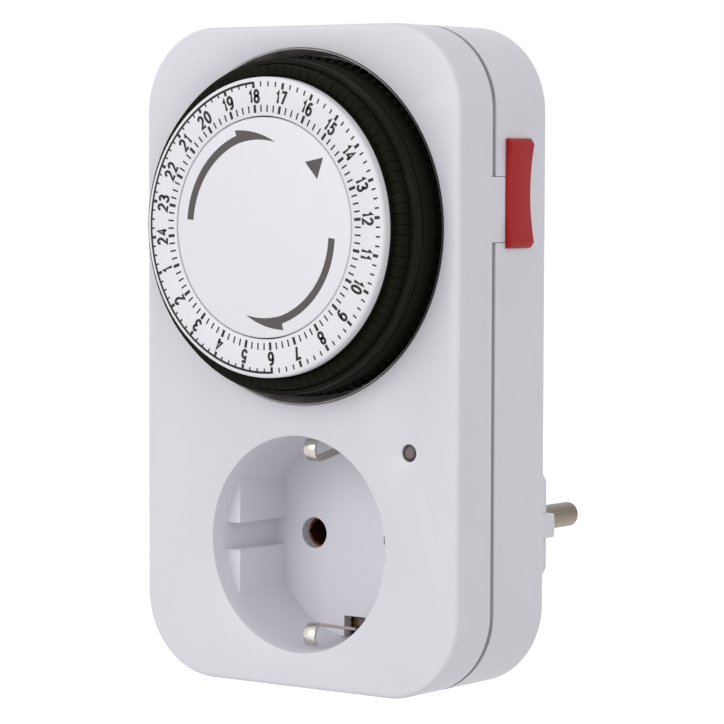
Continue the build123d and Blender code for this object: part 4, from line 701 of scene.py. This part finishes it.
def one_segment():
    """A quarter-hour segment on the +X side, about the dial's axis: rounded wedge head and its stem."""
    low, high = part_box("segments")
    outer = (high.x - low.x) / 2 / MM
    inner = outer - SEGMENT_DEPTH
    front, back, stem_end = low.y / MM, low.y / MM + SEGMENT_HEIGHT, high.y / MM
    work = bmesh.new()
    half_pitch = math.radians(SEGMENT_PITCH) / 2
    corners = []
    for y in (front, back):
        for radius, side in ((inner, -1), (outer, -1), (outer, 1), (inner, 1)):
            half = radius * half_pitch - SEGMENT_GAP
            x = radius - (SEGMENT_SLOPE if radius == outer and y == front else 0.0)
            corners.append(work.verts.new(Vector((x, y, side * half)) * MM))
    for face in ((0, 1, 2, 3), (7, 6, 5, 4), (4, 5, 1, 0), (5, 6, 2, 1), (6, 7, 3, 2), (7, 4, 0, 3)):
        work.faces.new([corners[i] for i in face])
    rounded = [e for e in work.edges if min(v.co.y for v in e.verts) < (front + 0.1) * MM]
    bmesh.ops.bevel(
        work, geom=rounded, offset=SEGMENT_EDGE * MM, offset_type="OFFSET", segments=2, profile=0.5,
        affect="EDGES",
    )
    middle = (inner + outer) / 2
    sunk = 0.05
    boxed(work, middle - STEM_HALF, middle + STEM_HALF, back - sunk, stem_end, -STEM_HALF, STEM_HALF)
    bmesh.ops.recalc_face_normals(work, faces=work.faces)
    return work


def build_segments():
    """The fixed segments as one piece, and each free one on its own body."""
    black = FINISH["segment_black"]
    count, first = SEGMENTS - FREE_COUNT, FREE_FROM + FREE_COUNT
    mesh = repeat_round_dial("segments", one_segment(), count, SEGMENT_PITCH, black, first)
    add_piece("quarter_hour_segments", mesh, black, "dial", ("segments",))
    for k in range(FREE_COUNT):
        node = f"segment_{k + 1}"
        mesh = repeat_round_dial(node, one_segment(), 1, SEGMENT_PITCH, black, FREE_FROM + k)
        add_piece("pressed_" + node, mesh, black, node, (node,))


def tick(radius, length, width, proud):
    """A printed tick on the +X side of the numeral ring, standing proud by a share of the print's height."""
    work = bmesh.new()
    front = DIAL_FRONT / MM - PRINT_PROUD / MM * proud
    sunk = 0.01
    boxed(work, radius, radius + length, front, DIAL_FRONT / MM + sunk, -width / 2, width / 2)
    bmesh.ops.recalc_face_normals(work, faces=work.faces)
    return work


def build_ticks():
    """Quarter-hour ticks in two circles, heavier on the hours."""
    # name, radius, length, width, count, pitch, share of the print's height
    rows = (
        ("inner_quarter_ticks", 20.55, 1.25, 0.3, SEGMENTS, SEGMENT_PITCH, 1.0),
        ("inner_hour_ticks", 20.45, 1.4, 0.55, 24, HOUR_STEP, 1.2),
        ("outer_quarter_ticks", 25.1, 0.9, 0.3, SEGMENTS, SEGMENT_PITCH, 1.0),
        ("outer_hour_ticks", 24.85, 1.15, 0.55, 24, HOUR_STEP, 1.2),
    )
    for name, radius, length, width, count, pitch, proud in rows:
        one = tick(radius, length, width, proud)
        mesh = repeat_round_dial(name, one, count, pitch, NUMERAL_INK, turn=RING_TURN)
        add_piece(name, mesh, NUMERAL_INK, "dial")


def dial_point(radius, clockwise, y):
    """A point of the dial's face, from a radius in mm and an angle clockwise from the top in degrees."""
    turn = math.radians(clockwise)
    return Vector((radius * MM * math.sin(turn), y, DIAL_Z + radius * MM * math.cos(turn)))


def bow(x, z, half_width, half_height, start, stop, steps=10):
    """Points along part of an ellipse, from one angle in degrees to another."""
    turns = [math.radians(start + (stop - start) * k / steps) for k in range(steps + 1)]
    return [(x + half_width * math.cos(a), z + half_height * math.sin(a)) for a in turns]


# The middle lines of the digits in a box of 1 by 1, each with its share of the full width.
SIX = [bow(0.5, 0.31, 0.5, 0.31, 180, -180, 18), bow(0.56, 0.5, 0.56, 0.5, 200, 60, 8)]
DIGITS = {
    "0": (1.0, [bow(0.5, 0.5, 0.5, 0.5, 90, 450, 22)]),
    "1": (0.42, [[(0.0, 0.74), (0.62, 0.82), (1.0, 1.0), (1.0, 0.0)]]),
    "2": (1.0, [bow(0.5, 0.7, 0.48, 0.3, 172, -30) + [(0.02, 0.0), (1.0, 0.0)]]),
    "3": (1.0, [bow(0.48, 0.76, 0.44, 0.24, 165, -80) + bow(0.48, 0.27, 0.52, 0.27, 80, -168)]),
    "4": (1.0, [[(0.74, 0.0), (0.74, 1.0), (0.0, 0.28), (1.0, 0.28)]]),
    "5": (1.0, [[(0.92, 1.0), (0.2, 1.0), (0.1, 0.55)] + bow(0.48, 0.33, 0.5, 0.33, 118, -162)]),
    "6": (1.0, SIX),
    "7": (1.0, [[(0.0, 1.0), (1.0, 1.0), (0.34, 0.0)]]),
    "8": (1.0, [bow(0.5, 0.76, 0.43, 0.24, 90, 450, 16), bow(0.5, 0.27, 0.5, 0.27, 90, 450, 18)]),
    "9": (1.0, [[(1 - x, 1 - z) for x, z in line] for line in SIX]),
}
DIGIT_HEIGHT = 2.62
DIGIT_WIDTH = 1.46
DIGIT_STROKE = 0.5
DIGIT_GAP = 0.2
NUMERAL_CENTRE = 23.36


def band_edges(line, width):
    """The two edges of a band of even width about a line of points, mitred at its corners."""
    mitre_limit = 0.6
    last = len(line) - 1
    closed = math.dist(line[0], line[last]) < width / 100
    edges = ([], [])
    for k, point in enumerate(line):
        before = line[k - 1] if k else (line[last - 1] if closed else None)
        after = line[k + 1] if k < last else (line[1] if closed else None)
        steps = [Vector(b) - Vector(a) for a, b in ((before, point), (point, after)) if a and b]
        normals = [Vector((-step.y, step.x)).normalized() for step in steps]
        middle = sum(normals, Vector((0, 0))).normalized()
        reach = width / 2 / max(mitre_limit, middle.dot(normals[0]))
        for edge, side in zip(edges, (1, -1)):
            edge.append(Vector(point) + middle * reach * side)
    return edges


def build_numerals():
    """The hours 1 to 24, tops outwards, 18 near the top of the dial."""
    strips = []
    for hour in range(1, 25):
        clockwise = (18 - hour) * HOUR_STEP + RING_TURN
        turn = math.radians(clockwise)
        centre = dial_point(NUMERAL_CENTRE, clockwise, 0)
        across = Vector((math.cos(turn), 0, -math.sin(turn))) * MM
        outwards = Vector((math.sin(turn), 0, math.cos(turn))) * MM
        spans = [(DIGIT_WIDTH - DIGIT_STROKE) * DIGITS[digit][0] for digit in str(hour)]
        left = -(sum(spans) + (len(spans) - 1) * (DIGIT_STROKE + DIGIT_GAP)) / 2
        for digit, span in zip(str(hour), spans):
            for line in DIGITS[digit][1]:
                sized = [(left + x * span, (z - 0.5) * (DIGIT_HEIGHT - DIGIT_STROKE)) for x, z in line]
                edges = band_edges(sized, DIGIT_STROKE)
                strips.append([[centre + across * p.x + outwards * p.y for p in edge] for edge in edges])
            left += span + DIGIT_STROKE + DIGIT_GAP
    mesh = joined_strips("hour_numerals", strips, DIAL_FRONT)
    add_piece("hour_numerals", mesh, NUMERAL_INK, "dial")


def printed_strip(first_edge, second_edge, y):
    """A thin printed patch between two edges of the same number of points on the dial's face."""
    work = bmesh.new()
    rows = [
        [work.verts.new(Vector((p.x, y + depth, p.z))) for p in edge]
        for edge in (first_edge, second_edge) for depth in (-PRINT_PROUD, PRINT_PROUD / 2)
    ]
    order = (0, 2, 3, 1)
    last = len(first_edge) - 1
    for k in range(last):
        for a, b in zip(order, order[1:] + order[:1]):
            work.faces.new((rows[a][k], rows[a][k + 1], rows[b][k + 1], rows[b][k]))
    for k in (0, last) if (first_edge[0] - first_edge[last]).length > PRINT_PROUD else ():
        work.faces.new([rows[i][k] for i in order])
    bmesh.ops.remove_doubles(work, verts=work.verts, dist=0.001 * MM)
    bmesh.ops.recalc_face_normals(work, faces=work.faces)
    return work


def joined_strips(name, strips, y):
    """One mesh of several printed strips."""
    parts = bmesh.new()
    for first_edge, second_edge in strips:
        sheet = printed_strip(first_edge, second_edge, y)
        held = bpy.data.meshes.new("strip")
        sheet.to_mesh(held)
        sheet.free()
        parts.from_mesh(held)
        bpy.data.meshes.remove(held)
    mesh = bpy.data.meshes.new(name)
    parts.to_mesh(mesh)
    parts.free()
    return mesh


def arc_points(radius, start, stop, steps, last_radius=None):
    """Points along an arc of the dial's face, whose radius may grow or shrink on the way."""
    growth = 0.0 if last_radius is None else last_radius - radius
    shares = [k / steps for k in range(steps + 1)]
    return [dial_point(radius + growth * share, start + (stop - start) * share, 0) for share in shares]


def build_arc_line():
    """The solid line that joins the outer ticks over the night hours."""
    outer, inner = 26.05, 25.62
    start, stop = RING_TURN - 180.0, RING_TURN
    strip = (arc_points(outer, start, stop, 72), arc_points(inner, start, stop, 72))
    mesh = joined_strips("night_line", [strip], DIAL_FRONT)
    add_piece("night_line", mesh, NUMERAL_INK, "dial")


def build_arrows():
    """Two turning arrows and the time pointer, printed on the still centre disc."""
    upper, lower = (-85.8, -20.2), (96.0, 165.4)
    upper_head, lower_head = (-20.2, 10.4), (165.4, 193.4)
    pointer_tip = dial_point(18.4, 47.2, 0)
    # the two edges of each strip: the band and the head of each arrow, then the pointer
    strips = [
        (arc_points(17.4, *upper, 24), arc_points(15.95, *upper, 24)),
        (arc_points(18.4, *upper_head, 12, 15.45), arc_points(15.95, *upper_head, 12, 15.45)),
        (arc_points(16.2, *lower, 24, 17.5), arc_points(14.8, *lower, 24, 16.1)),
        (arc_points(18.7, *lower_head, 12, 16.1), arc_points(16.1, *lower_head, 12, 16.1)),
        ([dial_point(15.1, 39.1, 0), pointer_tip], [dial_point(15.0, 54.5, 0), pointer_tip]),
    ]
    mesh = joined_strips("turning_arrows", strips, DISC_FRONT)
    add_piece("turning_arrows", mesh, ARROW_INK, "housing")


def build_ring_and_disc():
    """The white numeral ring with its rounded rim, and the still disc inside it."""
    rim_edge, lip_edge, disc_edge = 0.6, 0.08, 0.2
    hole, hole_depth = 2.55, 1.0
    inner, outer = node_radii("numeral_ring")
    front, back = ring_low.y / MM, ring_high.y / MM
    rim = rounded_corner(outer, front, rim_edge, 1, -1, 6)
    lip = rounded_corner(inner, front, lip_edge, -1, -1, 2)
    ring = turned([(outer, back), *rim, *reversed(lip), (inner, back)])
    front, back = disc_low.y / MM, disc_high.y / MM
    floor = back - hole_depth
    rim = rounded_corner(DISC_RADIUS, front, disc_edge, 1, -1)
    disc = turned([(DISC_RADIUS, back), *rim, (0, front), (0, floor), (hole, floor), (hole, back)])
    for node, mesh in (("numeral_ring", ring), ("centre_disc", disc)):
        add_piece("fine_" + node, mesh, FINISH["print_white"], body_of[node], (node,))


def build_slide():
    """The red slide: a rounded bar with slanted ends, its outer face hollowed for the thumb, on its stem."""
    clearance = 0.15
    hollow, edge, slant, drop = 1.05, 0.45, 1.1, 0.75
    blend, level_share = 0.15, 0.96
    base = body_high.x / MM + clearance
    height = slide_high.x / MM - base
    low_y, high_y, low_z, high_z = (v / MM for v in (slide_low.y, slide_high.y, slide_low.z, slide_high.z))
    half_long = (high_z - low_z) / 2
    middle_z = (low_z + high_z) / 2
    turns = [math.pi / 2 * k / 5 for k in range(6)]
    flat = half_long - slant
    ends = [(half_long, drop + 0.2), (half_long - blend, drop), (flat + blend, 0.05), (flat - blend, 0.0)]
    stations = [(-z, inset) for z, inset in ends]
    stations += [(flat * level_share * k / 12, 0.0) for k in range(-12, 13)]
    stations += [(z, inset) for z, inset in reversed(ends)]
    work = bmesh.new()
    rows = []
    for z, inset in stations:
        top = base + height - hollow * (1 - (z / half_long) ** 2) - inset
        outline = [(base, high_y)]
        outline += [(top - edge * (1 - math.sin(a)), high_y - edge * (1 - math.cos(a))) for a in turns]
        outline += [(top - edge * (1 - math.sin(a)), low_y + edge * (1 - math.cos(a))) for a in turns[::-1]]
        outline.append((base, low_y))
        rows.append([work.verts.new(Vector((x, y, middle_z + z)) * MM) for x, y in outline])
    for here, there in zip(rows, rows[1:]):
        for i in range(len(here)):
            j = (i + 1) % len(here)
            work.faces.new((here[i], here[j], there[j], there[i]))
    work.faces.new(rows[0])
    work.faces.new(rows[-1])
    stem = [v.co / MM for v in frame["nodes"]["override_cap"].data.vertices if v.co.x < body_high.x - MM]
    boxed(
        work, min(v.x for v in stem), base + 0.1, min(v.y for v in stem), max(v.y for v in stem),
        min(v.z for v in stem), max(v.z for v in stem),
    )
    bmesh.ops.recalc_face_normals(work, faces=work.faces)
    mesh = bpy.data.meshes.new("override_slide")
    work.to_mesh(mesh)
    work.free()
    smooth_between(mesh, 40.0)
    body = body_of["override_cap"]
    add_piece("override_slide", mesh, FINISH["slide_red"], body, ("override_cap",))


# ---------------------------------------------------------------- everything in its place
record = frame["record"]
slot_of = {item["node"]: item["material_slot"] for item in record["subparts"]}
body_of = {node: body for body, nodes in record["behaviour"]["bodies"].items() for node in nodes}

for node, piece in frame["nodes"].items():
    piece.data.materials.clear()
    piece.data.materials.append(FINISH[slot_of[node]])

# parts behind the socket's floor, seen through its slots, get dark finishes as painted shade in place of
# their own colours
FINISH_IN_PAINTED_SHADE = {
    "socket_sleeve_left": CONTACT_IN_PAINTED_SHADE,
    "socket_sleeve_right": CONTACT_IN_PAINTED_SHADE,
    "contact_carrier": CARRIER_IN_PAINTED_SHADE,
    "earth_rivet": STRAP_IN_PAINTED_SHADE,
}
for node, finish in FINISH_IN_PAINTED_SHADE.items():
    frame["nodes"][node].data.materials[0] = finish

# how far the edges of each remade node are rounded, in mm; with 0 it is only welded
ROUNDED = {
    "rear_shell": 0.0,
    "dial_drum": 0.0,
    "housing_screws": 0.1,
    "lamp_lens": 0.2,
}
for node, edge in ROUNDED.items():
    replace_with_rounded("fine_" + node, node, edge)
replace_with_rounded("fine_earth_clip_strap", "earth_clip_strap", 0.12, clip_metal("clip nickel"))
for pin in ("plug_pin_left", "plug_pin_right"):
    replace_with_rounded("fine_" + pin, pin, 0.12, PIN_NICKEL)
replace_with_rounded("fine_front_shell", "front_shell", 0.25, level=body_low.y, flat_angle=0.3)
replace_with_rounded("fine_dial_collar", "dial_collar", 0.0, COLLAR_GLOSS)

build_ring_and_disc()
build_slide()
build_segments()
build_ticks()
build_numerals()
build_arc_line()
build_arrows()


# ---------------------------------------------------------------- camera
def add_camera():
    """The three-quarter view from the right, a little above the middle, with a long lens."""
    azimuth, pitch, roll = (math.radians(a) for a in (36.7301, -3.4918, 0.1767))
    distance, shift_right, shift_up = 605.534 * MM, 11.6635 * MM, -0.6067 * MM
    aim_height = 33.8 * MM
    level = Vector((math.sin(azimuth), -math.cos(azimuth), 0))
    across = Vector((math.cos(azimuth), math.sin(azimuth), 0))
    forward = -level * math.cos(pitch) + Vector((0, 0, math.sin(pitch)))
    upright = across.cross(forward)
    right = across * math.cos(roll) + upright * math.sin(roll)
    up = -across * math.sin(roll) + upright * math.cos(roll)
    aim = Vector((0, body_low.y, aim_height))
    place = aim - forward * distance + right * shift_right + up * shift_up
    data = bpy.data.cameras.new("camera")
    data.sensor_width = 36.0
    data.lens = 166.59
    data.clip_start = 0.01
    camera = bpy.data.objects.new("camera", data)
    turn = Matrix((right, up, -forward)).transposed()
    camera.matrix_world = Matrix.Translation(place) @ turn.to_4x4()
    bpy.context.scene.collection.objects.link(camera)
    bpy.context.scene.camera = camera


# ---------------------------------------------------------------- studio
def seen_directly(tree):
    """1 for rays from the camera, in a mirror or through glass, 0 for light that bounces about."""
    path = tree.nodes.new("ShaderNodeLightPath")
    total = maths(tree, "MAXIMUM", path.outputs["Is Camera Ray"], path.outputs["Is Glossy Ray"])
    return maths(tree, "MAXIMUM", total, path.outputs["Is Transmission Ray"])


def finish_stage_tree(tree, lighting, shown, kind):
    """Show one shader to rays that see it directly, and light the scene with the other."""
    mix = tree.nodes.new("ShaderNodeMixShader")
    end = tree.nodes.new(kind)
    for socket, value in zip(mix.inputs, (seen_directly(tree), lighting.outputs[0], shown.outputs[0])):
        feed(tree, socket, value)
    feed(tree, end.inputs[0], mix.outputs[0])


def add_world():
    """A soft grey-white sky that is seen as plain white."""
    world = bpy.data.worlds.new("studio")
    bpy.context.scene.world = world
    world.use_nodes = True
    tree = world.node_tree
    tree.nodes.clear()
    around = tree.nodes.new("ShaderNodeBackground")
    feed(tree, around.inputs["Color"], (0.96, 0.97, 1.0, 1))
    feed(tree, around.inputs["Strength"], 0.62)
    white = tree.nodes.new("ShaderNodeBackground")
    feed(tree, white.inputs["Color"], (1, 1, 1, 1))
    feed(tree, white.inputs["Strength"], 1.0)
    finish_stage_tree(tree, around, white, "ShaderNodeOutputWorld")


def add_floor():
    """A pale floor a little below the hanging timer, which shows white but keeps a soft shadow."""
    half_width = 4.0
    drop = 30 * MM
    work = bmesh.new()
    bmesh.ops.create_grid(work, x_segments=1, y_segments=1, size=half_width)
    for v in work.verts:
        v.co.z = body_low.z - drop
    mesh = bpy.data.meshes.new("floor")
    work.to_mesh(mesh)
    work.free()
    floor = bpy.data.objects.new("floor", mesh)
    bpy.context.scene.collection.objects.link(floor)
    material = bpy.data.materials.new("pale floor")
    material.use_nodes = True
    tree = material.node_tree
    tree.nodes.clear()
    matt = tree.nodes.new("ShaderNodeBsdfDiffuse")
    feed(tree, matt.inputs["Color"], (0.8, 0.8, 0.8, 1))
    soft = tree.nodes.new("ShaderNodeBsdfDiffuse")
    feed(tree, soft.inputs["Color"], (0.4, 0.4, 0.4, 1))
    glow = tree.nodes.new("ShaderNodeEmission")
    feed(tree, glow.inputs["Color"], (1, 1, 1, 1))
    feed(tree, glow.inputs["Strength"], 0.86)
    shown = tree.nodes.new("ShaderNodeAddShader")
    feed(tree, shown.inputs[0], soft.outputs[0])
    feed(tree, shown.inputs[1], glow.outputs[0])
    finish_stage_tree(tree, matt, shown, "ShaderNodeOutputMaterial")
    mesh.materials.append(material)


def add_softbox(name, place, size, power):
    """A square lamp at a place in mm, turned towards the middle of the housing."""
    aim = (0.0, -45.0, 34.0)
    data = bpy.data.lights.new(name, "AREA")
    data.shape = "SQUARE"
    data.size = size * MM
    data.energy = power
    lamp = bpy.data.objects.new(name, data)
    place = Vector(place) * MM
    towards = Vector(aim) * MM - place
    lamp.matrix_world = Matrix.Translation(place) @ towards.to_track_quat("-Z", "Y").to_matrix().to_4x4()
    bpy.context.scene.collection.objects.link(lamp)


add_camera()
add_world()
add_floor()
add_softbox("key", (-330, -1050, 420), 760, 4.0)
add_softbox("right_fill", (900, -350, 380), 600, 1.2)
bpy.context.scene.view_settings.view_transform = "Standard"
